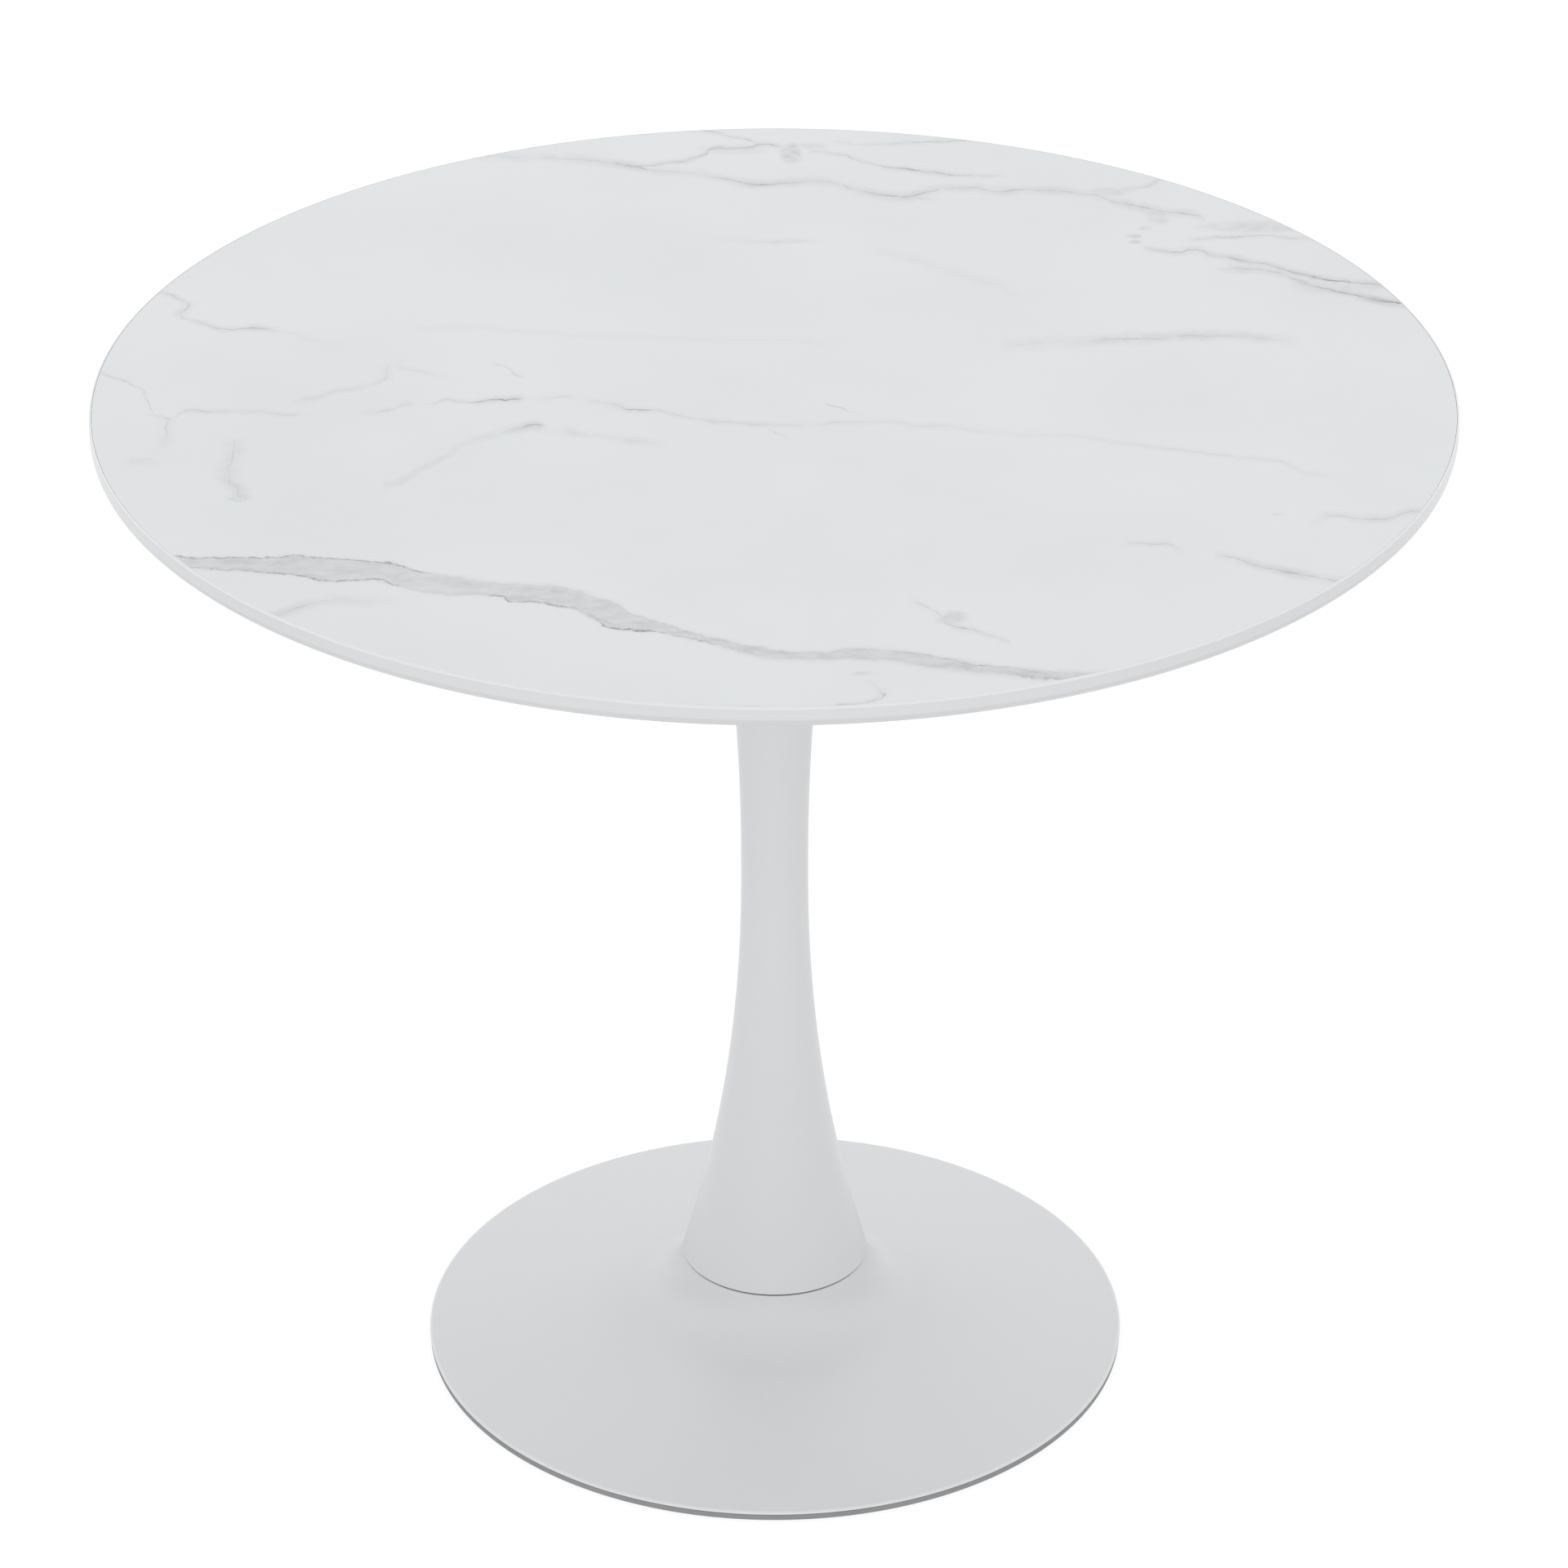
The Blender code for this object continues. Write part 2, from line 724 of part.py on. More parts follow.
def make_ballast_nuts(finish):
    """Hexagon nuts in the ballast's pockets."""
    bore = BALLAST_STUD_RADIUS + FIT_GAP
    flats, height = BALLAST_NUT_FLATS, BALLAST_NUT_HEIGHT
    chamfer = (1 - HEX_SHARE) * flats
    mesh = lofted_mesh(
        "ballast_nut",
        [
            (HEX_SHARE * flats, 0.0, False),
            (flats, -chamfer, True),
            (flats, chamfer - height, True),
            (HEX_SHARE * flats, -height, False),
            (bore, -height, False),
            (bore, 0.0, False),
        ],
        closed=True,
    )
    seat = BALLAST_FLOOR + POCKET_DEPTH - FIT_GAP
    bolt_circle("ballast_nut", mesh, finish, BALLAST_STUDS, stud_circle(), seat)


def main():
    for old in list(bpy.data.objects):
        bpy.data.objects.remove(old, do_unlink=True)
    table = bpy.data.objects.new("table", None)
    bpy.context.collection.objects.link(table)

    lacquer = material("white_lacquered_board", (0.78, 0.79, 0.80), 0.38)
    marble_print = material("marble_print", (0.76, 0.78, 0.79), 0.30)
    white_sheet = material("white_backing", (0.72, 0.72, 0.71), 0.55)
    powder_coat = material("white_powder_coat", (0.72, 0.73, 0.74), 0.42)
    zinc = material("zinc_plate", (0.62, 0.63, 0.64), 0.34, 1.0)
    cast_iron = material("primed_cast_iron", (0.10, 0.10, 0.11), 0.72, 0.4)
    grey_rubber = material("grey_rubber", (0.27, 0.275, 0.28), 0.65)

    make_board(lacquer)
    make_face_sheet(marble_print)
    make_backing_sheet(white_sheet)
    make_inserts(zinc)

    make_mounting_plate(powder_coat)
    make_plate_bolts(zinc)

    make_column(powder_coat)
    make_foot_flange(powder_coat)

    make_base(powder_coat)
    make_edge_trim(grey_rubber)
    make_clamp_plate(zinc)

    make_foot_bolts(zinc)
    make_flat_washers(zinc)
    make_spring_washers(zinc)

    make_ballast(cast_iron)
    make_ballast_studs(zinc)
    make_ballast_nuts(zinc)


main()
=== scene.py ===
# Round pedestal table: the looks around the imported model.
import math

import bmesh
import bpy
from mathutils import Matrix, Vector


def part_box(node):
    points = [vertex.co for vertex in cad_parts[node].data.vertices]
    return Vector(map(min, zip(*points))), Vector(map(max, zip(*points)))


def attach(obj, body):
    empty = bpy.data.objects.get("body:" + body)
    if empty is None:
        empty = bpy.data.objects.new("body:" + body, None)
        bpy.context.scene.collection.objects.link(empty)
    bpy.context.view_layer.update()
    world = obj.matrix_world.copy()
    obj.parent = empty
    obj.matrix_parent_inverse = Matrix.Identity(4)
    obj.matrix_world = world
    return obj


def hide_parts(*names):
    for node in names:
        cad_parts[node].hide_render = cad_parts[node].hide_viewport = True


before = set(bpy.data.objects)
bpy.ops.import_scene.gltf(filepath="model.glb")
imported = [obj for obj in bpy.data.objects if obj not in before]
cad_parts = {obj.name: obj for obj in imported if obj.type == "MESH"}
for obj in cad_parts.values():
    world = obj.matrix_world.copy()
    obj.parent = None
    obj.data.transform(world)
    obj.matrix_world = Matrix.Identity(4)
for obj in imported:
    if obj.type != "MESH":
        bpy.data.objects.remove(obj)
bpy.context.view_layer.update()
print("frame loaded with", len(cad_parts), "nodes")

millimetre = 0.001


# Node graphs: a Flow is a number on its way through a tree, a Graph adds the nodes


class Flow:
    def __init__(self, graph, socket):
        self.graph = graph
        self.socket = socket

    def calculate(self, operation, *others, swapped=False):
        values = [self, *others]
        if swapped:
            values.reverse()
        made = self.graph.node("ShaderNodeMath", {"operation": operation}, dict(enumerate(values)))
        return Flow(self.graph, made.outputs[0])

    def __add__(self, other):
        return self.calculate("ADD", other)

    def __sub__(self, other):
        return self.calculate("SUBTRACT", other)

    def __mul__(self, other):
        return self.calculate("MULTIPLY", other)

    def __truediv__(self, other):
        return self.calculate("DIVIDE", other)

    def __pow__(self, other):
        return self.calculate("POWER", other)

    def __rsub__(self, other):
        return self.calculate("SUBTRACT", other, swapped=True)

    def __rtruediv__(self, other):
        return self.calculate("DIVIDE", other, swapped=True)

    def __abs__(self):
        return self.calculate("ABSOLUTE")

    __radd__ = __add__
    __rmul__ = __mul__

    def greater(self, other):  # 1 where this is more than the other
        return self.calculate("GREATER_THAN", other)

    def largest(self, other):
        return self.calculate("MAXIMUM", other)

    def smallest(self, other):
        return self.calculate("MINIMUM", other)


class Graph:
    def __init__(self, tree):
        self.tree = tree

    def node(self, kind, settings=None, inputs=None):
        made = self.tree.nodes.new(kind)
        for name, value in (settings or {}).items():
            if name == "lines":
                self.setLines(made.mapping, value)
            else:
                setattr(made, name, value)
        for name, value in (inputs or {}).items():
            if isinstance(value, Flow):
                value = value.socket
            if isinstance(value, bpy.types.NodeSocket):
                self.tree.links.new(value, made.inputs[name])
            else:
                made.inputs[name].default_value = value
        return made

    def setLines(self, mapping, lines):
        mapping.extend = "HORIZONTAL"
        for curve, line in zip(mapping.curves, lines):
            curve.points[0].location = line[0]
            curve.points[1].location = line[-1]
            for place in line[1:-1]:
                curve.points.new(*place)
            for point in curve.points:
                point.handle_type = "AUTO_CLAMPED"
        mapping.update()

    def flow(self, kind, settings=None, inputs=None, output=0):
        return Flow(self, self.node(kind, settings, inputs).outputs[output])

    def noise(self, vector, scale, detail=3.0, roughness=0.5, output="Fac"):
        return self.flow(
            "ShaderNodeTexNoise",
            None,
            {"Vector": vector, "Scale": scale, "Detail": detail, "Roughness": roughness},
            output,
        )

    def fade(self, value, start, end, low=1.0, high=0.0):  # smooth step from low to high
        return self.flow(
            "ShaderNodeMapRange",
            {"interpolation_type": "SMOOTHSTEP"},
            {"Value": value, "From Min": start, "From Max": end, "To Min": low, "To Max": high},
        )

    def blend(self, factor, first, second):  # colours
        made = self.node("ShaderNodeMix", {"data_type": "RGBA"}, {"Factor": factor})
        for socket, colour in zip((made.inputs[6], made.inputs[7]), (first, second)):
            if isinstance(colour, Flow):
                self.tree.links.new(colour.socket, socket)
            else:
                socket.default_value = (*colour, 1.0)
        return Flow(self, made.outputs[2])

    def vector(self, operation, *values):
        return self.flow("ShaderNodeVectorMath", {"operation": operation}, dict(enumerate(values)))

    def stretched(self, vector, scale):
        return self.flow("ShaderNodeMapping", None, {"Vector": vector, "Scale": scale})

    def fromAxis(self, place):  # how far a place lies from the table's axis
        flat = self.vector("MULTIPLY", place, (1.0, 1.0, 0.0))
        return self.flow("ShaderNodeVectorMath", {"operation": "LENGTH"}, {0: flat}, "Value")

    def shaken(self, vector, scale, reach):  # moves a place about by a noise, for wandering lines
        cloud = self.noise(vector, scale, 2.0, 0.5, "Color")
        centred = self.vector("SUBTRACT", cloud, (0.5, 0.5, 0.5))
        step = self.vector("MULTIPLY", centred, (2 * reach, 2 * reach, 0.0))
        return self.vector("ADD", vector, step)

    def drawn(self, where, start, end, *lines):
        # up to three lines, each a list of (place, value), read at one coordinate
        spans = []
        scaled = []
        for line in lines:
            low = min(value for _, value in line)
            span = max(value for _, value in line) - low or 1.0
            spans.append((low, span))
            scaled.append(
                [((place - start) / (end - start), (value - low) / span) for place, value in line]
            )
        share = (where - start) / (end - start)
        curves = self.node("ShaderNodeRGBCurve", {"lines": scaled}, {"Color": share})
        split = self.node("ShaderNodeSeparateColor", None, {"Color": curves.outputs[0]})
        return [
            Flow(self, split.outputs[i]) * span + low for i, (low, span) in enumerate(spans)
        ]


def newMaterial(name):
    made = bpy.data.materials.new(name)
    made.use_nodes = True
    graph = Graph(made.node_tree)
    place = graph.flow("ShaderNodeTexCoord", None, None, "Object")
    shader = made.node_tree.nodes["Principled BSDF"]
    return made, graph, place, shader


def feed(graph, shader, **inputs):
    names = {"colour": "Base Color", "rough": "Roughness", "metal": "Metallic", "bump": "Normal"}
    for name, value in inputs.items():
        socket = shader.inputs[names[name]]
        if isinstance(value, Flow):
            graph.tree.links.new(value.socket, socket)
        elif name == "colour":
            socket.default_value = (*value, 1.0)
        else:
            socket.default_value = value


def bumped(graph, height, depth, strength=1.0):
    return graph.flow(
        "ShaderNodeBump", None, {"Height": height, "Distance": depth, "Strength": strength}
    )


# Camera, floor and lights

viewSettings = {
    "side": 0.0064,
    "distance": 3.9285,
    "height": 2.5529,
    "pitchDown": 28.3165,  # degrees
    "focalLength": 150.6,  # millimetres
    "sensorWidth": 36.0,
    "farthest": 60.0,
}


def placeCamera(settings):
    lens = bpy.data.cameras.new("productCamera")
    lens.lens = settings["focalLength"]
    lens.sensor_width = settings["sensorWidth"]
    lens.clip_end = settings["farthest"]
    camera = bpy.data.objects.new("productCamera", lens)
    camera.location = (settings["side"], -settings["distance"], settings["height"])
    camera.rotation_euler = (math.radians(90 - settings["pitchDown"]), 0, 0)
    bpy.context.scene.collection.objects.link(camera)
    bpy.context.scene.camera = camera


placeCamera(viewSettings)

studioSettings = {
    "floorSize": 40.0,
    "floorTone": (0.25, 0.25, 0.25),
    "floorGlow": 0.79,
    "skyColour": (0.986, 0.994, 1.0),
    "skyLow": 0.65,  # brightness near the horizon, half way up and overhead
    "skyMiddle": 1.26,
    "skyTop": 0.46,
    "frontShare": 0.83,  # of that brightness, at the camera's side and at the far side
    "backShare": 1.10,
    "backGlow": 0.45,  # extra low down behind the table
    "sideDip": 0.35,  # less low down at the left and right
    # where each change starts and ends: up from 0 at the horizon to 1 overhead, along
    # from -1 at the camera's side to 1 at the far side, beside from 0 to 1 at either side
    "upToMiddle": (0.10, 0.40),
    "upToTop": (0.72, 0.95),
    "alongToBack": (-0.75, 0.35),
    "glowAlong": (0.10, 0.95),
    "glowUp": (0.05, 0.45),
    "dipBeside": (0.50, 0.95),
    "dipUp": (0.10, 0.55),
    # name, place, aimed at, size, watts, whether gloss mirrors it
    "lights": [
        ("overheadSoftbox", (0.0, 0.3, 3.4), (0, 0, 0.5), 2.6, 7.0, True),
        ("frontFill", (-0.3, -4.2, 0.9), (0, 0, 0.40), 2.2, 31.0, False),
    ],
}


def buildSky(settings):
    world = bpy.data.worlds.new("softStudio")
    world.use_nodes = True
    graph = Graph(world.node_tree)
    sky = world.node_tree.nodes["Background"]
    sky.inputs["Color"].default_value = (*settings["skyColour"], 1.0)
    look = graph.flow("ShaderNodeTexCoord", None, None, "Generated")
    axes = graph.node("ShaderNodeSeparateXYZ", None, {"Vector": look})
    across, along, up = (Flow(graph, socket) for socket in axes.outputs)
    rising = graph.fade(up, *settings["upToMiddle"], settings["skyLow"], settings["skyMiddle"])
    topDip = settings["skyMiddle"] - settings["skyTop"]
    level = rising - graph.fade(up, *settings["upToTop"], 0.0, topDip)
    around = graph.fade(along, *settings["alongToBack"], settings["frontShare"], settings["backShare"])
    behind = graph.fade(along, *settings["glowAlong"], 0.0, 1.0) * graph.fade(up, *settings["glowUp"])
    beside = graph.fade(abs(across), *settings["dipBeside"], 0.0, 1.0)
    beside = beside * graph.fade(up, *settings["dipUp"])
    strength = level * around * (1 - beside * settings["sideDip"]) + behind * settings["backGlow"]
    graph.tree.links.new(strength.socket, sky.inputs["Strength"])
    bpy.context.scene.world = world


def buildStudio(settings):
    bpy.context.scene.view_settings.view_transform = "Standard"
    buildSky(settings)

    half = settings["floorSize"] / 2
    corners = [(-half, -half, 0), (half, -half, 0), (half, half, 0), (-half, half, 0)]
    mesh = bpy.data.meshes.new("paleFloor")
    mesh.from_pydata(corners, [], [(0, 1, 2, 3)])
    floor = bpy.data.objects.new("paleFloor", mesh)
    bpy.context.scene.collection.objects.link(floor)
    made, graph, place, shader = newMaterial("paleFloorPaint")
    feed(graph, shader, colour=settings["floorTone"], rough=0.85 + graph.noise(place, 3.0) * 0.1)
    shader.inputs["Emission Color"].default_value = (1.0, 1.0, 1.0, 1.0)
    shader.inputs["Emission Strength"].default_value = settings["floorGlow"]
    shader.inputs["Specular IOR Level"].default_value = 0.1
    mesh.materials.append(made)

    for name, place, aim, size, watts, mirrored in settings["lights"]:
        lamp = bpy.data.lights.new(name, "AREA")
        lamp.shape = "DISK"
        lamp.size = size
        lamp.energy = watts
        holder = bpy.data.objects.new(name, lamp)
        holder.location = place
        holder.visible_glossy = mirrored
        holder.rotation_euler = (Vector(aim) - Vector(place)).to_track_quat("-Z", "Y").to_euler()
        bpy.context.scene.collection.objects.link(holder)


buildStudio(studioSettings)
print("studio ready")


# Plain finishes

seamHeight = (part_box("column_shell")[0].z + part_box("base_shell")[1].z) / 2
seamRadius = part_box("column_shell")[1].x  # the column's foot is as wide as its head

powderCoatSettings = {
    "tones": [(0.603, 0.612, 0.620), (0.630, 0.638, 0.646)],
    "rimHighlightTone": (0.690, 0.698, 0.705),  # painted highlight along the rim of the base
    "rimHighlightShare": 0.8,
    "rimHighlightWidth": 0.0022,
    "rimHighlightFade": 0.0012,
    "dustTone": (0.50, 0.50, 0.49),
    "dustShare": 0.18,
    "seamShadeTone": (0.12, 0.12, 0.12),  # painted shade in the seam between column and base
    "seamShadeShare": 0.85,
    "seamShadeHeight": (0.0006, 0.0011),  # above and below the seam
    "seamShadeDepth": (0.0006, 0.0001),  # inside and outside the column's foot
    "cloudScale": 7.0,
    "peelScale": 620.0,
    "grainScale": 2600.0,
    "dustScale": 300.0,
    "roughness": 0.27,
    "bumpDepth": 0.00009,
}


def powderCoatFinish(settings):
    made, graph, place, shader = newMaterial("whitePowderCoat")
    cloud = graph.noise(place, settings["cloudScale"], 4.0)
    peel = graph.noise(place, settings["peelScale"], 2.0, 0.4)
    grain = graph.noise(place, settings["grainScale"], 1.0)
    dust = graph.fade(graph.noise(place, settings["dustScale"], 2.0, 0.6), 0.70, 0.78, 0.0, 1.0)
    fromAxis = graph.fromAxis(place)
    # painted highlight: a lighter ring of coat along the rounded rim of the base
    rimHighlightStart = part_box("base_shell")[1].x - settings["rimHighlightWidth"]
    rimHighlightEnd = rimHighlightStart + settings["rimHighlightFade"]
    rimHighlight = graph.fade(fromAxis, rimHighlightStart, rimHighlightEnd, 0.0, settings["rimHighlightShare"])
    axes = graph.node("ShaderNodeSeparateXYZ", None, {"Vector": place})
    fromSeam = abs(Flow(graph, axes.outputs[2]) - seamHeight)
    inward, outward = settings["seamShadeDepth"]
    # painted shade: the coat turns dark grey in a thin ring at the seam between column and base, where the
    # gap lies in shadow
    seamShade = graph.fade(fromSeam, *settings["seamShadeHeight"])
    seamShade = seamShade * graph.fade(fromAxis, seamRadius - inward, seamRadius + outward)
    tone = graph.blend(rimHighlight, graph.blend(cloud, *settings["tones"]), settings["rimHighlightTone"])
    tone = graph.blend(dust * settings["dustShare"], tone, settings["dustTone"])
    feed(
        graph,
        shader,
        colour=graph.blend(seamShade * settings["seamShadeShare"], tone, settings["seamShadeTone"]),
        rough=settings["roughness"] + cloud * 0.06 + peel * 0.05 + dust * 0.12 + seamShade * 0.3,
        bump=bumped(graph, peel + grain * 0.25, settings["bumpDepth"], 0.55),
    )
    return made


lacquerSettings = {
    "tones": [(0.602, 0.612, 0.619), (0.624, 0.634, 0.640)],
    "arrisHighlightTone": (0.735, 0.745, 0.752),
    "arrisHighlightDepth": (0.0007, 0.0014),  # painted highlight band on the arris, down from the board's upper face
    # painted shade on the lower part of the board's edge, measured down from its upper face
    "lowerEdgeShadeTone": (0.480, 0.488, 0.495),
    "lowerEdgeShadeDepth": (0.0070, 0.0095),
    "lowerEdgeShadeShare": 0.55,
    "cloudScale": 12.0,
    "peelScale": 420.0,
    "roughness": 0.26,
    "bumpDepth": 0.00006,
    "coatWeight": 0.3,
    "coatRoughness": 0.12,
}


def lacquerFinish(settings):
    made, graph, place, shader = newMaterial("whiteLacquer")
    cloud = graph.noise(place, settings["cloudScale"], 3.0)
    peel = graph.noise(place, settings["peelScale"], 2.0)
    axes = graph.node("ShaderNodeSeparateXYZ", None, {"Vector": place})
    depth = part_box("tabletop_board")[1].z - Flow(graph, axes.outputs[2])
    # painted highlight: the lacquer is lighter on the rounded arris at the top of the edge
    arris = graph.fade(depth, *settings["arrisHighlightDepth"])
    # painted shade: the lacquer darkens towards the underside of the edge
    foot = graph.fade(depth, *settings["lowerEdgeShadeDepth"], 0.0, settings["lowerEdgeShadeShare"])
    tone = graph.blend(arris, graph.blend(cloud, *settings["tones"]), settings["arrisHighlightTone"])
    feed(
        graph,
        shader,
        colour=graph.blend(foot, tone, settings["lowerEdgeShadeTone"]),
        rough=settings["roughness"] + cloud * 0.06 + peel * 0.04,
        bump=bumped(graph, peel, settings["bumpDepth"], 0.5),
    )
    shader.inputs["Coat Weight"].default_value = settings["coatWeight"]
    shader.inputs["Coat Roughness"].default_value = settings["coatRoughness"]
    return made


backingSettings = {
    "tones": [(0.62, 0.62, 0.605), (0.72, 0.72, 0.71)],
    "fibreStretch": (1.0, 9.0, 1.0),
    "fibreScale": 160.0,
    "cloudScale": 9.0,
    "roughness": 0.50,
    "bumpDepth": 0.00008,
}


def backingFinish(settings):
    made, graph, place, shader = newMaterial("whiteBackingPaper")
    fibre = graph.noise(graph.stretched(place, settings["fibreStretch"]), settings["fibreScale"], 4.0)
    cloud = graph.noise(place, settings["cloudScale"], 3.0)
    feed(
        graph,
        shader,
        colour=graph.blend(cloud * 0.6 + fibre * 0.4, *settings["tones"]),
        rough=settings["roughness"] + fibre * 0.14,
        bump=bumped(graph, fibre, settings["bumpDepth"], 0.5),
    )
    return made


zincSettings = {
    "tones": [(0.50, 0.515, 0.53), (0.68, 0.69, 0.69)],
    "stainTone": (0.55, 0.52, 0.44),
    "stainShare": 0.35,
    "spangleScale": 180.0,
    "scratchStretch": (1.0, 1.0, 14.0),
    "scratchScale": 900.0,
    "stainScale": 60.0,
    "roughness": 0.26,
    "bumpDepth": 0.00004,
}


def zincFinish(settings):
    made, graph, place, shader = newMaterial("zincPlate")
    spangle = graph.noise(place, settings["spangleScale"], 3.0)
    drawnOut = graph.stretched(place, settings["scratchStretch"])
    scratches = graph.noise(drawnOut, settings["scratchScale"], 2.0)
    stain = graph.fade(graph.noise(place, settings["stainScale"], 4.0), 0.48, 0.70, 0.0, 1.0)
    tone = graph.blend(spangle, *settings["tones"])
    feed(
        graph,
        shader,
        colour=graph.blend(stain * settings["stainShare"], tone, settings["stainTone"]),
        metal=1.0 - stain * 0.25,
        rough=settings["roughness"] + scratches * 0.18 + stain * 0.15,
        bump=bumped(graph, scratches, settings["bumpDepth"], 0.6),
    )
    return made


castIronSettings = {
    "tones": [(0.038, 0.039, 0.041), (0.125, 0.125, 0.128)],
    "rustTone": (0.15, 0.075, 0.04),
    "rustShare": 0.45,
    "sandScale": 520.0,
    "lumpScale": 70.0,
    "rustScale": 30.0,
    "roughness": 0.60,
    "bumpDepth": 0.0006,
}


def castIronFinish(settings):
    made, graph, place, shader = newMaterial("primedCastIron")
    sand = graph.noise(place, settings["sandScale"], 4.0, 0.6)
    lumps = graph.noise(place, settings["lumpScale"], 4.0, 0.55)
    rust = graph.fade(graph.noise(place, settings["rustScale"], 6.0, 0.65), 0.58, 0.72, 0.0, 1.0)
    tone = graph.blend(sand, *settings["tones"])
    feed(
        graph,
        shader,
        colour=graph.blend(rust * settings["rustShare"], tone, settings["rustTone"]),
        metal=0.25 - rust * 0.2,
        rough=settings["roughness"] + sand * 0.22 + rust * 0.1,
        bump=bumped(graph, sand * 0.5 + lumps, settings["bumpDepth"], 0.8),
    )
    return made


rubberSettings = {
    "tones": [(0.214, 0.218, 0.223), (0.268, 0.272, 0.277)],
    "grainScale": 1100.0,
    "cloudScale": 26.0,
    "roughness": 0.58,
    "bumpDepth": 0.00012,
}


def rubberFinish(settings):
    made, graph, place, shader = newMaterial("greyRubber")
    grain = graph.noise(place, settings["grainScale"], 3.0)
    cloud = graph.noise(place, settings["cloudScale"], 3.0)
    feed(
        graph,
        shader,
        colour=graph.blend(cloud, *settings["tones"]),
        rough=settings["roughness"] + grain * 0.2,
        bump=bumped(graph, grain, settings["bumpDepth"], 0.6),
    )
    return made


# Marble print: every vein is a line of (x, y, strength) on the top, in metres

marbleSettings = {
    "white": (0.664, 0.676, 0.687),
    "cloud": (0.644, 0.656, 0.667),
    "grey": (0.480, 0.490, 0.488),
    "dark": (0.190, 0.192, 0.192),
    "wander": [(60.0, 0.0042), (260.0, 0.0014)],  # noise scale and reach
    "patchiness": 0.9,
    "thinnest": 0.35,  # share of a vein's width that is left where it is faint
    "sharpness": 1.6,
    "haloSpread": 1.6,
    "haloShare": 1.5,
    "veinShare": 0.54,
    "crackShare": 0.74,
    # painted highlight: a ring this wide at the sheet's cut edge, where the print stops, lighter than the
    # white of the print
    "cutEdge": 0.0004,
    "cutEdgeHighlightTone": (0.745, 0.755, 0.765),
    "roughness": 0.30,
    "bumpDepth": 0.00004,
}

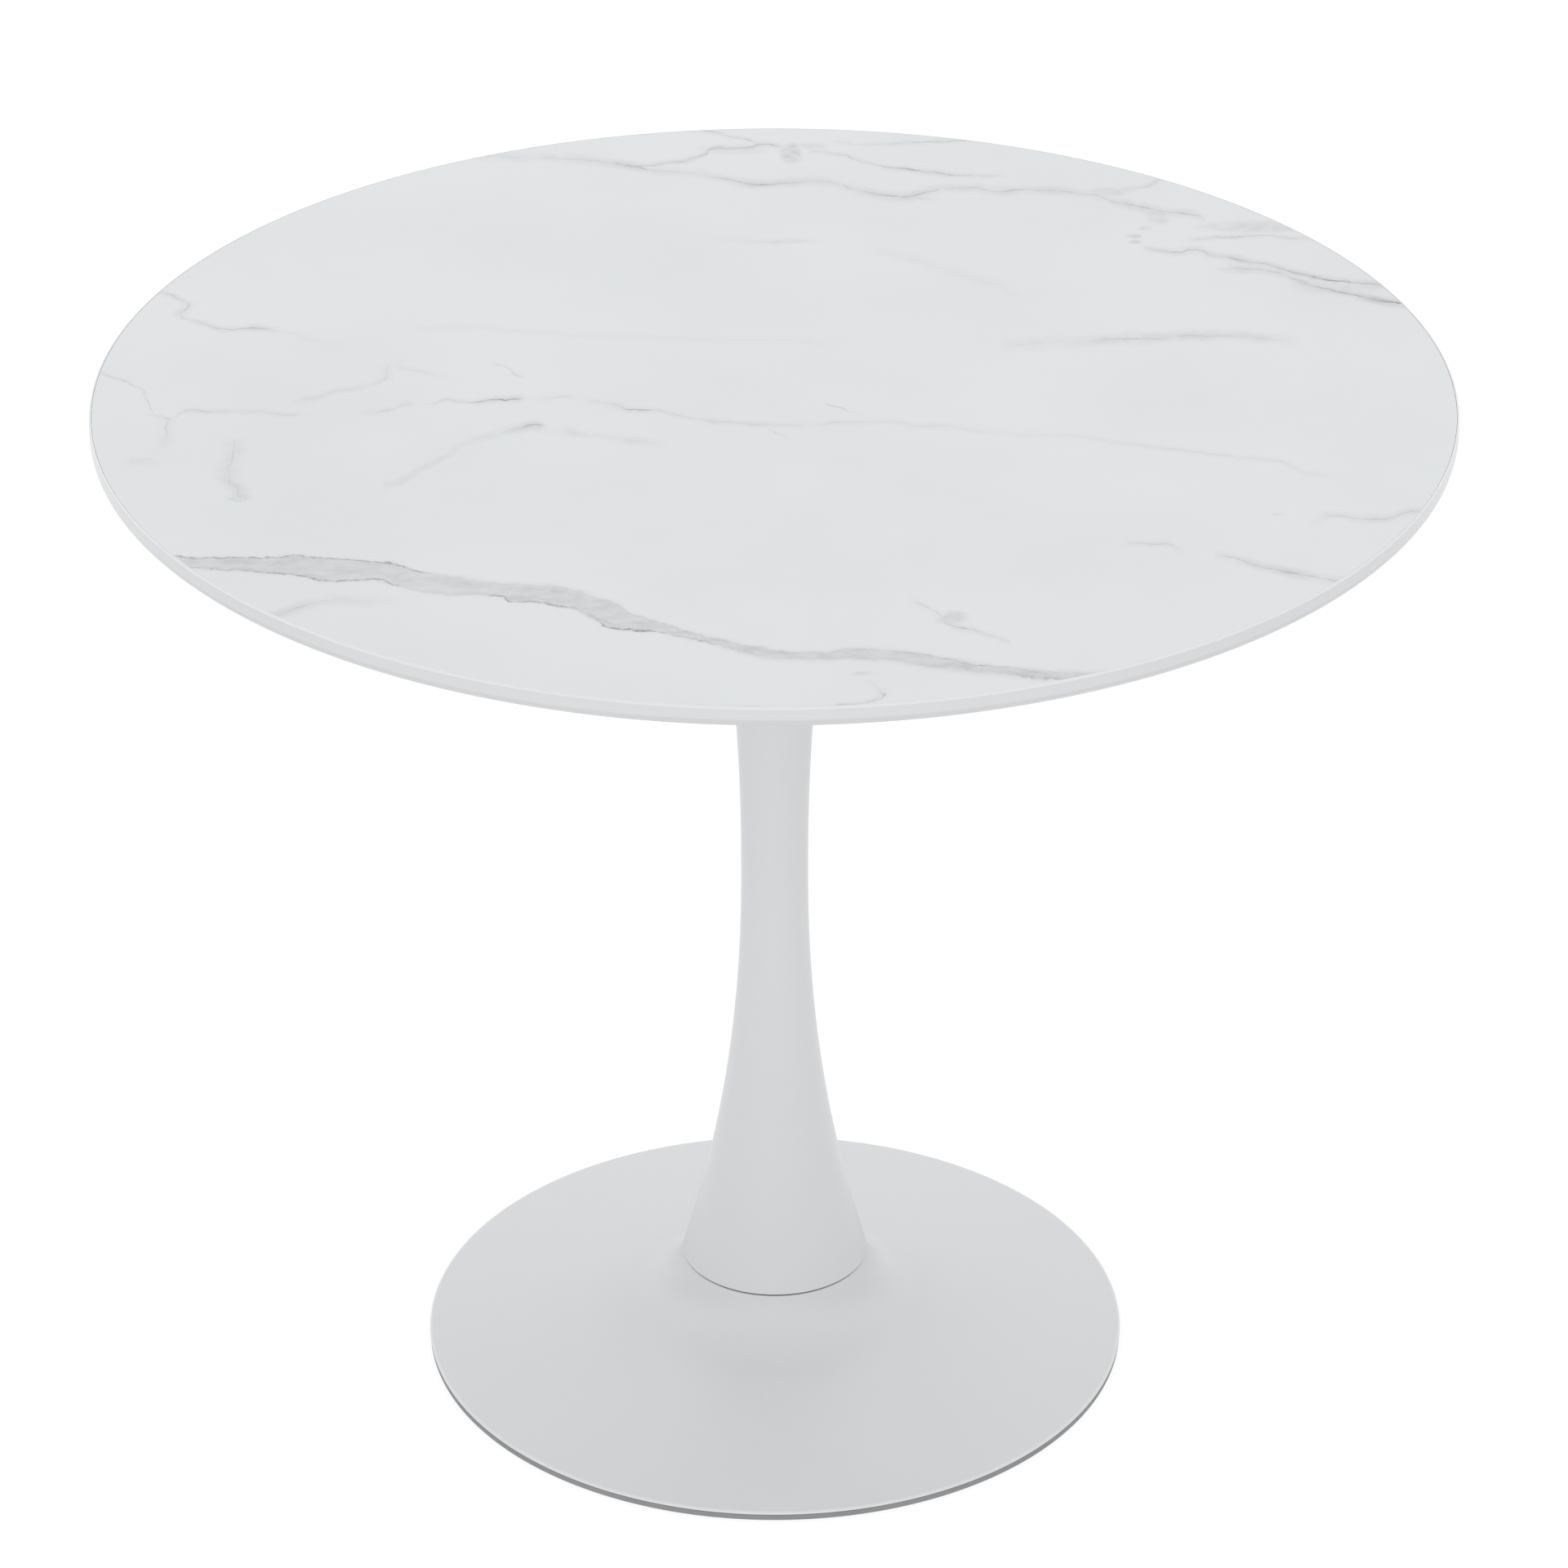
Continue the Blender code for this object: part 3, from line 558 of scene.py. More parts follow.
# half width and halo width in millimetres, halo strength, the axis it is read along, and points
thinVeins = [
    # across the middle, left part
    (1.1, 5.0, 0.28, "x", [
        (-0.393, -0.042, 0.0), (-0.390, -0.038, 0.5), (-0.383, -0.029, 0.8), (-0.370, -0.031, 0.7),
        (-0.340, -0.032, 0.6), (-0.320, -0.036, 0.6), (-0.305, -0.035, 0.1), (-0.285, -0.034, 0.0),
        (-0.270, -0.033, 0.4), (-0.250, -0.028, 0.7), (-0.240, -0.019, 0.6), (-0.232, -0.020, 0.1),
        (-0.225, -0.020, 0.5), (-0.215, -0.013, 0.7), (-0.200, -0.016, 0.9), (-0.185, -0.014, 1.4),
        (-0.168, -0.011, 1.3), (-0.162, -0.010, 0.1), (-0.155, -0.013, 0.4), (-0.140, -0.009, 0.6),
        (-0.128, -0.012, 0.1), (-0.120, -0.015, 0.5), (-0.100, -0.023, 0.8), (-0.092, -0.029, 1.1),
        (-0.080, -0.028, 0.8), (-0.070, -0.035, 0.6), (-0.050, -0.042, 0.6), (-0.030, -0.048, 0.7),
        (0.0, -0.051, 0.6), (0.030, -0.052, 0.0),
    ]),
    # across the middle, right part
    (1.0, 5.0, 0.25, "x", [
        (0.018, -0.052, 0.0), (0.030, -0.052, 0.5), (0.040, -0.047, 0.6), (0.080, -0.047, 0.6),
        (0.090, -0.053, 0.7), (0.110, -0.054, 0.5), (0.130, -0.060, 0.5), (0.150, -0.064, 0.2),
        (0.170, -0.067, 0.5), (0.190, -0.068, 0.4), (0.215, -0.076, 0.5), (0.250, -0.086, 0.6),
        (0.280, -0.095, 0.6), (0.300, -0.100, 0.5), (0.320, -0.104, 0.6), (0.330, -0.112, 0.5),
        (0.345, -0.125, 0.4), (0.368, -0.130, 0.0),
    ]),
    (0.9, 3.0, 0.15, "x", [
        (0.032, -0.017, 0.0), (0.038, -0.021, 1.0), (0.048, -0.031, 0.5), (0.062, -0.042, 0.0),
    ]),
    (0.8, 2.5, 0.15, "y", [(-0.004, -0.057, 0.0), (0.001, -0.063, 0.8), (0.009, -0.075, 0.0)]),
    # left rim to the middle
    (0.9, 4.0, 0.2, "x", [
        (-0.452, 0.034, 0.9), (-0.435, 0.021, 0.9), (-0.420, 0.005, 0.8), (-0.410, -0.020, 0.9),
        (-0.404, -0.043, 0.0),
    ]),
    (1.0, 5.0, 0.3, "y", [
        (-0.406, -0.033, 0.0), (-0.402, -0.038, 0.6), (-0.396, -0.045, 0.8), (-0.395, -0.066, 0.5),
        (-0.400, -0.096, 0.3), (-0.404, -0.104, 0.0),
    ]),
    # upright streak and its foot at the left
    (1.4, 7.0, 0.45, "y", [
        (-0.350, -0.070, 0.0), (-0.350, -0.081, 0.4), (-0.349, -0.096, 0.55), (-0.351, -0.127, 0.5),
        (-0.345, -0.142, 0.55), (-0.341, -0.157, 0.5), (-0.339, -0.169, 0.0),
    ]),
    # rising streak left of the middle
    (1.3, 7.0, 0.55, "x", [
        (-0.250, -0.145, 0.0), (-0.243, -0.139, 0.35), (-0.225, -0.117, 0.4), (-0.210, -0.096, 0.4),
        (-0.200, -0.081, 0.35), (-0.185, -0.068, 0.35), (-0.165, -0.056, 0.6), (-0.157, -0.052, 1.0),
        (-0.150, -0.056, 0.3), (-0.145, -0.060, 0.1), (-0.130, -0.064, 0.4), (-0.110, -0.070, 0.2),
        (-0.090, -0.076, 0.4), (-0.068, -0.081, 0.0),
    ]),
    # small ones above it
    (0.9, 5.0, 0.4, "x", [
        (-0.320, -0.017, 0.0), (-0.310, -0.013, 0.6), (-0.290, 0.000, 0.5), (-0.265, 0.011, 0.5),
        (-0.257, 0.020, 0.0),
    ]),
    (0.9, 4.0, 0.3, "y", [
        (-0.259, 0.014, 0.0), (-0.257, 0.020, 0.6), (-0.256, 0.036, 0.5), (-0.255, 0.044, 0.0),
    ]),
    (0.9, 4.0, 0.3, "x", [
        (-0.252, 0.040, 0.0), (-0.244, 0.036, 0.6), (-0.230, 0.030, 0.5), (-0.208, 0.018, 0.0),
    ]),
    (0.8, 3.0, 0.3, "x", [
        (-0.188, 0.045, 0.0), (-0.180, 0.041, 0.8), (-0.170, 0.027, 0.8), (-0.164, 0.022, 0.0),
    ]),
    # upper left
    (1.1, 5.0, 0.35, "y", [
        (-0.424, 0.167, 0.9), (-0.405, 0.149, 0.8), (-0.398, 0.138, 0.9), (-0.402, 0.123, 0.8),
        (-0.392, 0.114, 0.6), (-0.386, 0.108, 0.0),
    ]),
    (1.1, 5.0, 0.35, "x", [
        (-0.396, 0.116, 0.0), (-0.390, 0.112, 0.7), (-0.380, 0.105, 0.8), (-0.370, 0.100, 0.9),
        (-0.352, 0.101, 0.9), (-0.330, 0.095, 0.4), (-0.310, 0.082, 0.25), (-0.280, 0.067, 0.0),
    ]),
    (1.2, 6.0, 0.3, "x", [
        (-0.245, 0.099, 0.0), (-0.205, 0.103, 0.35), (-0.180, 0.097, 0.3), (-0.100, 0.087, 0.25),
        (0.0, 0.080, 0.3), (0.045, 0.077, 0.0),
    ]),
    # centre back, faint
    (1.5, 9.0, 0.4, "x", [
        (0.055, 0.235, 0.0), (0.090, 0.220, 0.25), (0.120, 0.195, 0.3), (0.150, 0.174, 0.25),
        (0.168, 0.151, 0.0),
    ]),
    (1.0, 5.0, 0.3, "x", [
        (-0.055, 0.251, 0.0), (-0.020, 0.248, 0.3), (0.0, 0.246, 0.7), (0.035, 0.246, 0.0),
    ]),
    # right of the middle
    (1.9, 9.0, 0.50, "x", [
        (0.150, 0.069, 0.0), (0.163, 0.074, 0.4), (0.190, 0.078, 0.2), (0.215, 0.080, 0.5),
        (0.230, 0.084, 0.7), (0.250, 0.084, 0.7), (0.270, 0.088, 0.65), (0.300, 0.089, 0.6),
        (0.330, 0.084, 0.5), (0.355, 0.079, 0.0),
    ]),
    # back, main vein
    (1.6, 8.0, 0.40, "x", [
        (-0.215, 0.400, 0.6), (-0.200, 0.398, 0.6), (-0.170, 0.394, 0.5), (-0.140, 0.392, 0.6),
        (-0.120, 0.386, 0.7), (-0.100, 0.379, 1.0), (-0.080, 0.371, 0.6), (-0.050, 0.363, 0.6),
        (-0.030, 0.354, 1.0), (-0.010, 0.346, 1.1), (0.0, 0.348, 0.9), (0.030, 0.352, 0.8),
        (0.050, 0.341, 0.8), (0.070, 0.330, 0.9), (0.090, 0.324, 1.2), (0.100, 0.328, 1.0),
        (0.110, 0.334, 0.9), (0.135, 0.341, 0.7), (0.160, 0.334, 0.8), (0.180, 0.337, 0.7),
        (0.210, 0.332, 0.7), (0.230, 0.324, 0.9), (0.240, 0.315, 0.9), (0.260, 0.305, 0.9),
        (0.270, 0.299, 1.0), (0.290, 0.295, 0.9), (0.300, 0.282, 0.0),
    ]),
    (1.0, 4.0, 0.2, "x", [(0.095, 0.323, 0.0), (0.102, 0.322, 0.8), (0.118, 0.319, 0.0)]),
    # back, upper branches
    (1.4, 6.0, 0.35, "x", [
        (-0.108, 0.377, 0.0), (-0.100, 0.379, 0.9), (-0.080, 0.383, 0.9), (-0.060, 0.393, 1.0),
        (-0.050, 0.401, 1.2), (-0.044, 0.411, 1.3), (-0.020, 0.414, 1.1), (-0.010, 0.420, 1.1),
        (0.002, 0.416, 0.7), (0.012, 0.412, 0.0),
    ]),
    (1.1, 5.0, 0.3, "x", [
        (-0.064, 0.448, 0.9), (-0.045, 0.441, 0.9), (-0.020, 0.427, 0.8), (-0.006, 0.419, 0.0),
    ]),
    (1.3, 5.0, 0.3, "x", [
        (0.022, 0.408, 0.0), (0.030, 0.406, 0.7), (0.050, 0.399, 0.7), (0.065, 0.387, 0.8),
        (0.080, 0.378, 0.9), (0.100, 0.373, 1.2), (0.120, 0.366, 0.9), (0.140, 0.363, 0.9),
        (0.165, 0.363, 0.0),
    ]),
    (1.1, 5.0, 0.25, "x", [
        (0.035, 0.425, 0.0), (0.050, 0.422, 0.5), (0.070, 0.419, 0.6), (0.090, 0.422, 0.8),
        (0.110, 0.424, 1.0), (0.130, 0.427, 1.0), (0.150, 0.429, 0.8),
    ]),
    # right back
    (1.1, 5.0, 0.3, "x", [
        (0.232, 0.330, 0.0), (0.245, 0.336, 0.8), (0.260, 0.342, 0.9), (0.272, 0.356, 0.8),
        (0.278, 0.364, 0.6),
    ]),
    (1.0, 5.0, 0.3, "x", [
        (0.285, 0.249, 0.0), (0.295, 0.250, 0.7), (0.310, 0.254, 0.9), (0.340, 0.256, 0.8),
        (0.360, 0.252, 0.7), (0.378, 0.246, 0.5),
    ]),
    (1.3, 6.0, 0.4, "x", [
        (0.254, 0.235, 0.0), (0.262, 0.233, 0.8), (0.275, 0.228, 1.0), (0.290, 0.232, 0.9),
        (0.300, 0.224, 1.0), (0.320, 0.215, 1.0), (0.340, 0.204, 1.0), (0.360, 0.192, 1.1),
        (0.375, 0.182, 1.6), (0.390, 0.178, 1.2), (0.418, 0.172, 1.0),
    ]),
    (1.5, 7.0, 0.5, "x", [
        (0.308, 0.204, 0.0), (0.320, 0.200, 0.7), (0.340, 0.195, 0.8), (0.360, 0.177, 0.9),
        (0.380, 0.164, 1.0), (0.400, 0.152, 1.3), (0.425, 0.141, 1.7),
    ]),
    # right front
    (1.0, 5.0, 0.3, "x", [
        (0.216, -0.227, 0.0), (0.228, -0.226, 0.6), (0.238, -0.227, 0.8), (0.246, -0.227, 0.8),
        (0.252, -0.235, 0.5), (0.262, -0.240, 0.0),
    ]),
    (1.5, 7.0, 0.4, "x", [
        (0.275, -0.242, 0.0), (0.285, -0.246, 0.6), (0.300, -0.255, 0.8), (0.315, -0.264, 1.0),
        (0.330, -0.271, 1.0), (0.345, -0.277, 0.85), (0.362, -0.279, 0.7),
    ]),
    (1.1, 6.0, 0.35, "x", [
        (0.338, -0.198, 0.0), (0.345, -0.194, 0.5), (0.352, -0.186, 0.7), (0.370, -0.191, 0.8),
        (0.385, -0.191, 0.8), (0.400, -0.183, 0.7), (0.416, -0.177, 0.6),
    ]),
    # front: tails of the blot, the curl by the rim, the faint branch at the left
    (0.9, 4.0, 0.3, "x", [
        (0.082, -0.304, 0.0), (0.090, -0.309, 0.6), (0.102, -0.325, 0.7), (0.108, -0.329, 0.0),
    ]),
    (1.1, 5.0, 0.35, "x", [
        (0.104, -0.335, 0.0), (0.111, -0.341, 0.9), (0.125, -0.349, 0.8), (0.140, -0.359, 0.7),
        (0.146, -0.363, 0.0),
    ]),
    (1.2, 4.0, 0.3, "x", [
        (0.030, -0.450, 0.8), (0.042, -0.446, 0.9), (0.050, -0.444, 0.9), (0.060, -0.438, 0.8),
        (0.066, -0.431, 0.0),
    ]),
    (1.0, 4.0, 0.3, "y", [
        (0.058, -0.412, 0.0), (0.062, -0.421, 0.6), (0.066, -0.431, 0.8), (0.061, -0.440, 0.0),
    ]),
    (1.4, 8.0, 0.5, "x", [
        (-0.320, -0.337, 0.5), (-0.305, -0.326, 0.7), (-0.285, -0.311, 0.6), (-0.272, -0.306, 0.4),
        (-0.250, -0.308, 0.3), (-0.225, -0.308, 0.0),
    ]),
    # crack that crosses the big band near the front rim
    (0.8, 2.0, 0.10, "x", [
        (0.078, -0.376, 0.0), (0.084, -0.378, 0.9), (0.101, -0.383, 0.9), (0.116, -0.391, 1.1),
        (0.143, -0.397, 0.9), (0.161, -0.405, 0.8), (0.176, -0.408, 0.5), (0.188, -0.409, 0.0),
    ]),
    # short strand under the big band
    (0.9, 3.0, 0.3, "x", [
        (-0.130, -0.314, 0.0), (-0.125, -0.317, 0.9), (-0.115, -0.326, 1.0), (-0.100, -0.337, 0.8),
        (-0.096, -0.342, 0.0),
    ]),
]

# centre x, y, half sizes in millimetres, strength
blots = [
    (0.110, -0.330, 13.0, 11.0, 0.72),
    (0.055, -0.405, 9.0, 4.0, 0.45),
    (-0.408, -0.108, 13.0, 8.0, 0.30),
    (-0.341, -0.160, 11.0, 9.0, 0.6),
    (-0.159, -0.051, 5.0, 3.0, 0.7),
    (0.012, 0.403, 9.0, 24.0, 0.85),
    (0.026, 0.416, 14.0, 8.0, 0.55),
    (0.236, 0.334, 20.0, 10.0, 0.55),
    (0.335, 0.272, 50.0, 13.0, 0.60),
    (0.268, 0.290, 12.0, 18.0, 0.60),
    (0.257, 0.269, 6.0, 5.0, 0.8),
    (0.249, 0.256, 6.0, 5.0, 0.9),
    (0.250, 0.245, 7.0, 5.0, 0.9),
    (0.325, 0.198, 26.0, 9.0, 0.5),
    (0.385, 0.169, 40.0, 16.0, 0.42),
    (0.320, -0.185, 5.0, 3.0, 0.4),
    (-0.030, 0.410, 30.0, 12.0, 0.35),
    (0.200, 0.080, 50.0, 12.0, 0.25),
]

# the wide band at the front left: its two edges, and where hairline cracks follow them
bandSettings = {
    "pale": (0.560, 0.568, 0.573),
    "deep": (0.440, 0.445, 0.448),
    "upperTear": (170.0, 0.0052),  # noise scale and reach
    "lowerTear": (150.0, 0.0056),
    "upperFade": (-0.0012, 0.0014),
    "lowerFade": (-0.0012, 0.0016),
    "upperCrack": (0.0004, 0.0016),
    "lowerCrack": (0.0004, 0.0018),
    "haloWidth": 0.0060,
    "haloShare": 0.28,
    "streakTilt": 17,  # degrees
    "streakStretch": (1.0, 3.6, 1.0),
}
bandUpperEdge = [
    (-0.390, -0.2423), (-0.376, -0.2443), (-0.350, -0.2474), (-0.300, -0.2453), (-0.270, -0.2494),
    (-0.235, -0.2555), (-0.225, -0.2646), (-0.200, -0.2737), (-0.170, -0.2817), (-0.150, -0.2838),
    (-0.130, -0.2888), (-0.110, -0.3009), (-0.095, -0.3120), (-0.083, -0.3282), (-0.065, -0.3403),
    (-0.047, -0.3514), (-0.030, -0.3615), (0.0, -0.3725), (0.030, -0.3776), (0.045, -0.3725),
    (0.070, -0.3736), (0.100, -0.3826), (0.130, -0.3937), (0.150, -0.3997), (0.215, -0.4038),
]
bandLowerEdge = [
    (-0.390, -0.2524), (-0.365, -0.2605), (-0.330, -0.2656), (-0.300, -0.2706), (-0.270, -0.2797),
    (-0.250, -0.2777), (-0.235, -0.2838), (-0.200, -0.2979), (-0.170, -0.2999), (-0.160, -0.3080),
    (-0.145, -0.3090), (-0.130, -0.3141), (-0.110, -0.3292), (-0.097, -0.3443), (-0.080, -0.3473),
    (-0.065, -0.3524), (-0.045, -0.3594), (-0.030, -0.3705), (0.0, -0.3846), (0.030, -0.3856),
    (0.060, -0.3856), (0.090, -0.3947), (0.120, -0.4028), (0.150, -0.4088), (0.215, -0.4158),
]
bandDepth = [
    (-0.390, 0.95), (-0.330, 0.95), (-0.280, 0.84), (-0.200, 0.74), (-0.140, 0.92), (-0.100, 0.80),
    (-0.060, 0.95), (0.0, 1.0), (0.030, 0.95), (0.060, 0.85), (0.100, 0.95), (0.150, 1.0), (0.215, 0.9),
]
upperCracks = [
    (-0.390, 0.7), (-0.352, 0.9), (-0.340, 1.0), (-0.300, 0.8), (-0.270, 0.9), (-0.225, 1.0),
    (-0.212, 0.1), (-0.150, 0.0), (-0.120, 0.1), (-0.060, 0.3), (0.0, 0.2), (0.215, 0.0),
]
lowerCracks = [
    (-0.390, 0.5), (-0.330, 0.6), (-0.320, 0.9), (-0.240, 0.9), (-0.225, 0.2), (-0.180, 0.2),
    (-0.165, 1.1), (-0.130, 1.0), (-0.118, 0.3), (-0.104, 1.0), (-0.080, 1.2), (-0.060, 0.5),
    (-0.045, 0.7), (-0.030, 0.1), (0.060, 0.0), (0.125, 0.0), (0.150, 0.5), (0.180, 0.6),
    (0.215, 0.6),
]


def paintThinVeins(settings, graph, x, y, patches):
    thinnest = settings["thinnest"]
    cores = halos = None
    for width, haloWidth, haloShare, along, points in thinVeins:
        pick = 0 if along == "x" else 1
        ordered = sorted(points, key=lambda point: point[pick])
        where, across = (x, y) if along == "x" else (y, x)
        centre, strength = graph.drawn(
            where,
            ordered[0][pick],
            ordered[-1][pick],
            [(point[pick], point[1 - pick]) for point in ordered],
            [(point[pick], point[2]) for point in ordered],
        )
        away = abs(across - centre)
        thickness = (thinnest + strength * (1 - thinnest)) * (width * millimetre)
        core = graph.fade(away / thickness, 0.0, 1.0) * strength.largest(0.0) ** settings["sharpness"]
        halo = graph.fade(away, 0.0, haloWidth * settings["haloSpread"] * millimetre)
        halo = halo * strength * (haloShare * settings["haloShare"])
        cores = core if cores is None else cores.largest(core)
        halos = halo if halos is None else halos.largest(halo)
    return cores * patches, halos


def paintBlots(graph, x, y):
    total = None
    for centreX, centreY, halfX, halfY, strength in blots:
        sideways = (x - centreX) / (halfX * millimetre)
        lengthways = (y - centreY) / (halfY * millimetre)
        spot = graph.fade(sideways * sideways + lengthways * lengthways, 0.05, 1.0) * strength
        total = spot if total is None else total.largest(spot)
    return total


def torn(graph, edge, place, scale, reach):  # an edge that a noise moves to and fro
    return edge + (graph.noise(place, scale, 4.0, 0.62) - 0.5) * reach


def paintBand(settings, graph, place, x, y):
    start, end = bandUpperEdge[0][0], bandUpperEdge[-1][0]
    upper, lower, depth = graph.drawn(x, start, end, bandUpperEdge, bandLowerEdge, bandDepth)
    upperCrack, lowerCrack = graph.drawn(x, start, end, upperCracks, lowerCracks)
    upper = torn(graph, upper, place, *settings["upperTear"])
    lower = torn(graph, lower, place, *settings["lowerTear"])
    within = graph.fade(upper - y, *settings["upperFade"], 0.0, 1.0)
    within = within * graph.fade(y - lower, *settings["lowerFade"], 0.0, 1.0)
    around = graph.fade(upper - y, -settings["haloWidth"], 0.0, 0.0, 1.0)
    around = around * graph.fade(y - lower, -settings["haloWidth"], 0.0, 0.0, 1.0)
    upperLine = graph.fade(abs(y - upper), *settings["upperCrack"]) * upperCrack
    lowerLine = graph.fade(abs(y - lower), *settings["lowerCrack"]) * lowerCrack
    return within * depth, around * depth, upperLine.largest(lowerLine)


def paintStreaks(settings, graph, place):  # the two greys that run along inside the band
    tilted = graph.flow(
        "ShaderNodeMapping",
        None,
        {
            "Vector": place,
            "Rotation": (0, 0, math.radians(settings["streakTilt"])),
            "Scale": settings["streakStretch"],
        },
    )
    streaks = graph.noise(tilted, 44.0, 5.0, 0.62)
    grain = graph.noise(place, 110.0, 4.0, 0.65)
    share = graph.fade(streaks * 0.55 + grain * 0.45, 0.38, 0.66, 0.0, 1.0)
    return graph.blend(share, settings["pale"], settings["deep"])


def marbleFinish(settings):
    made, graph, place, shader = newMaterial("marblePrint")
    wandering = place
    for scale, reach in settings["wander"]:
        wandering = graph.shaken(wandering, scale, reach)
    axes = graph.node("ShaderNodeSeparateXYZ", None, {"Vector": wandering})
    x, y = Flow(graph, axes.outputs[0]), Flow(graph, axes.outputs[1])

    patches = graph.noise(place, 75.0, 4.0, 0.6)
    patches = graph.fade(patches, 0.30, 0.62, 1.0 - settings["patchiness"], 1.1)
    mottle = graph.fade(graph.noise(place, 130.0, 4.0, 0.6), 0.35, 0.65, 0.45, 1.0)
    smoke = graph.fade(graph.noise(wandering, 48.0, 4.0, 0.6), 0.34, 0.64, 0.45, 1.15)
    cores, halos = paintThinVeins(settings, graph, x, y, patches)
    stains = (halos * smoke).largest(paintBlots(graph, x, y) * mottle)
    band, bandHalo, hairlines = paintBand(bandSettings, graph, wandering, x, y)
    bandTone = paintStreaks(bandSettings, graph, wandering)
    cracks = graph.fade(graph.noise(wandering, 260.0, 3.0, 0.6), 0.36, 0.58, 0.25, 1.0)
    lines = (cores * settings["veinShare"]).largest(hairlines * cracks * settings["crackShare"])

    clouds = graph.noise(place, 5.0, 5.0, 0.55)
    cloudShare = graph.fade(clouds, 0.35, 0.70, 0.0, 1.0)
    colour = graph.blend(cloudShare, settings["white"], settings["cloud"])
    colour = graph.blend(stains.smallest(1.0), colour, settings["grey"])
    colour = graph.blend(bandHalo * bandSettings["haloShare"], colour, settings["grey"])
    colour = graph.blend(band * (0.62 + mottle * 0.3), colour, bandTone)
    colour = graph.blend(lines.smallest(1.0), colour, settings["dark"])
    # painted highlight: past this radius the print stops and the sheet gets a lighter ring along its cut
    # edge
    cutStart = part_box("marble_face_sheet")[1].x - settings["cutEdge"]
    colour = graph.blend(graph.fromAxis(place).greater(cutStart), colour, settings["cutEdgeHighlightTone"])
    sheen = graph.noise(place, 340.0, 2.0)
    feed(
        graph,
        shader,
        colour=colour,
        rough=settings["roughness"] + clouds * 0.06 + sheen * 0.05,
        bump=bumped(graph, sheen, settings["bumpDepth"], 0.4),
    )
    return made


finishes = {
    "powder_coat": powderCoatFinish(powderCoatSettings),
    "lacquered_board": lacquerFinish(lacquerSettings),
    "marble_print": marbleFinish(marbleSettings),
    "white_backing": backingFinish(backingSettings),
    "zinc_plate": zincFinish(zincSettings),
    "cast_iron": castIronFinish(castIronSettings),
    "grey_rubber": rubberFinish(rubberSettings),
}
print("finishes mixed")


# Mesh helpers


def arcPoints(centre, radius, start, end, count):  # angles in degrees, from +X towards +Z
    points = []
    for i in range(count + 1):
        angle = math.radians(start + (end - start) * i / count)
        points.append((centre[0] + radius * math.cos(angle), centre[1] + radius * math.sin(angle)))
    return points


def turnedMesh(name, outline, steps, closed=True):
    # turns (radius, height) points about the axis; they run down the outer side
    shape = bmesh.new()
    turns = [(math.cos(math.tau * i / steps), math.sin(math.tau * i / steps)) for i in range(steps)]
    rings = []
    for radius, height in outline:
        if radius == 0.0:
            rings.append([shape.verts.new((0, 0, height))] * steps)
        else:
            rings.append([shape.verts.new((radius * x, radius * y, height)) for x, y in turns])
    pairs = list(zip(rings, rings[1:]))
    if closed:
        pairs.append((rings[-1], rings[0]))
    for upper, lower in pairs:
        for i in range(steps):
            j = (i + 1) % steps
            corners = []
            for corner in (upper[i], lower[i], lower[j], upper[j]):
                if corner not in corners:
                    corners.append(corner)
            if len(corners) > 2:
                shape.faces.new(corners)
    mesh = bpy.data.meshes.new(name)
    shape.to_mesh(mesh)
    shape.free()
    return mesh


def smoothed(mesh, degrees=32):
    mesh.shade_smooth()
    mesh.set_sharp_from_angle(angle=math.radians(degrees))


def newPiece(name, mesh):
    made = bpy.data.objects.new(name, mesh)
    bpy.context.scene.collection.objects.link(made)
    return made


def appliedMesh(piece):
    depsgraph = bpy.context.evaluated_depsgraph_get()
    return bpy.data.meshes.new_from_object(piece.evaluated_get(depsgraph), depsgraph=depsgraph)


def drilledMesh(mesh, holes):
    # holes: count, circle radius, hole radius, low, high, sides
    shape = bmesh.new()
    for count, circle, radius, low, high, sides in holes:
        for i in range(count):
            angle = math.tau * (i + 0.5) / count
            centre = (circle * math.cos(angle), circle * math.sin(angle), (low + high) / 2)
            bmesh.ops.create_cone(
                shape,
                cap_ends=True,
                segments=sides,
                radius1=radius,
                radius2=radius,
                depth=high - low,
                matrix=Matrix.Translation(centre),
            )
    cutterMesh = bpy.data.meshes.new("cutter")
    shape.to_mesh(cutterMesh)
    shape.free()
    body = newPiece("drilledBody", mesh)
    cutter = newPiece("cutter", cutterMesh)
    cut = body.modifiers.new("holes", "BOOLEAN")
    cut.operation = "DIFFERENCE"
    cut.solver = "EXACT"
    cut.object = cutter
    result = appliedMesh(body)
    for spare in (body, cutter):
        bpy.data.objects.remove(spare, do_unlink=True)
    return result


def finishPiece(name, mesh, slot, replaced, degrees=32):
    mesh.name = name
    mesh.materials.clear()
    mesh.materials.append(finishes[slot])
    smoothed(mesh, degrees)
    piece = newPiece(name, mesh)
    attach(piece, "root")
    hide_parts(*replaced)


gap = 0.0003  # between pieces that touch
holeSpare = 0.01  # how far a drill runs past a face
plateBolts, footBolts, studs = 6, 4, 4


def circleThrough(node):  # radius of the circle that a fastener stands on
    low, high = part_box(node)
    centre = (low + high) / 2
    return math.hypot(centre.x, centre.y)


plateBoltRadius = circleThrough("plate_bolt_1")
footBoltRadius = circleThrough("foot_bolt_1")
studRadius = circleThrough("ballast_stud_1")


# Table top

topSettings = {
    "steps": 360,
    "arris": 0.0015,
    "undercut": 0.006,
    "bevelWidth": 0.040,
    "bevelDrop": 0.004,
    "bevelHollow": 0.45,  # share of the drop left at half the bevel's width
    "printArris": 0.00015,
    "insertHole": 0.0052,
    "insertDepth": 0.0132,
}


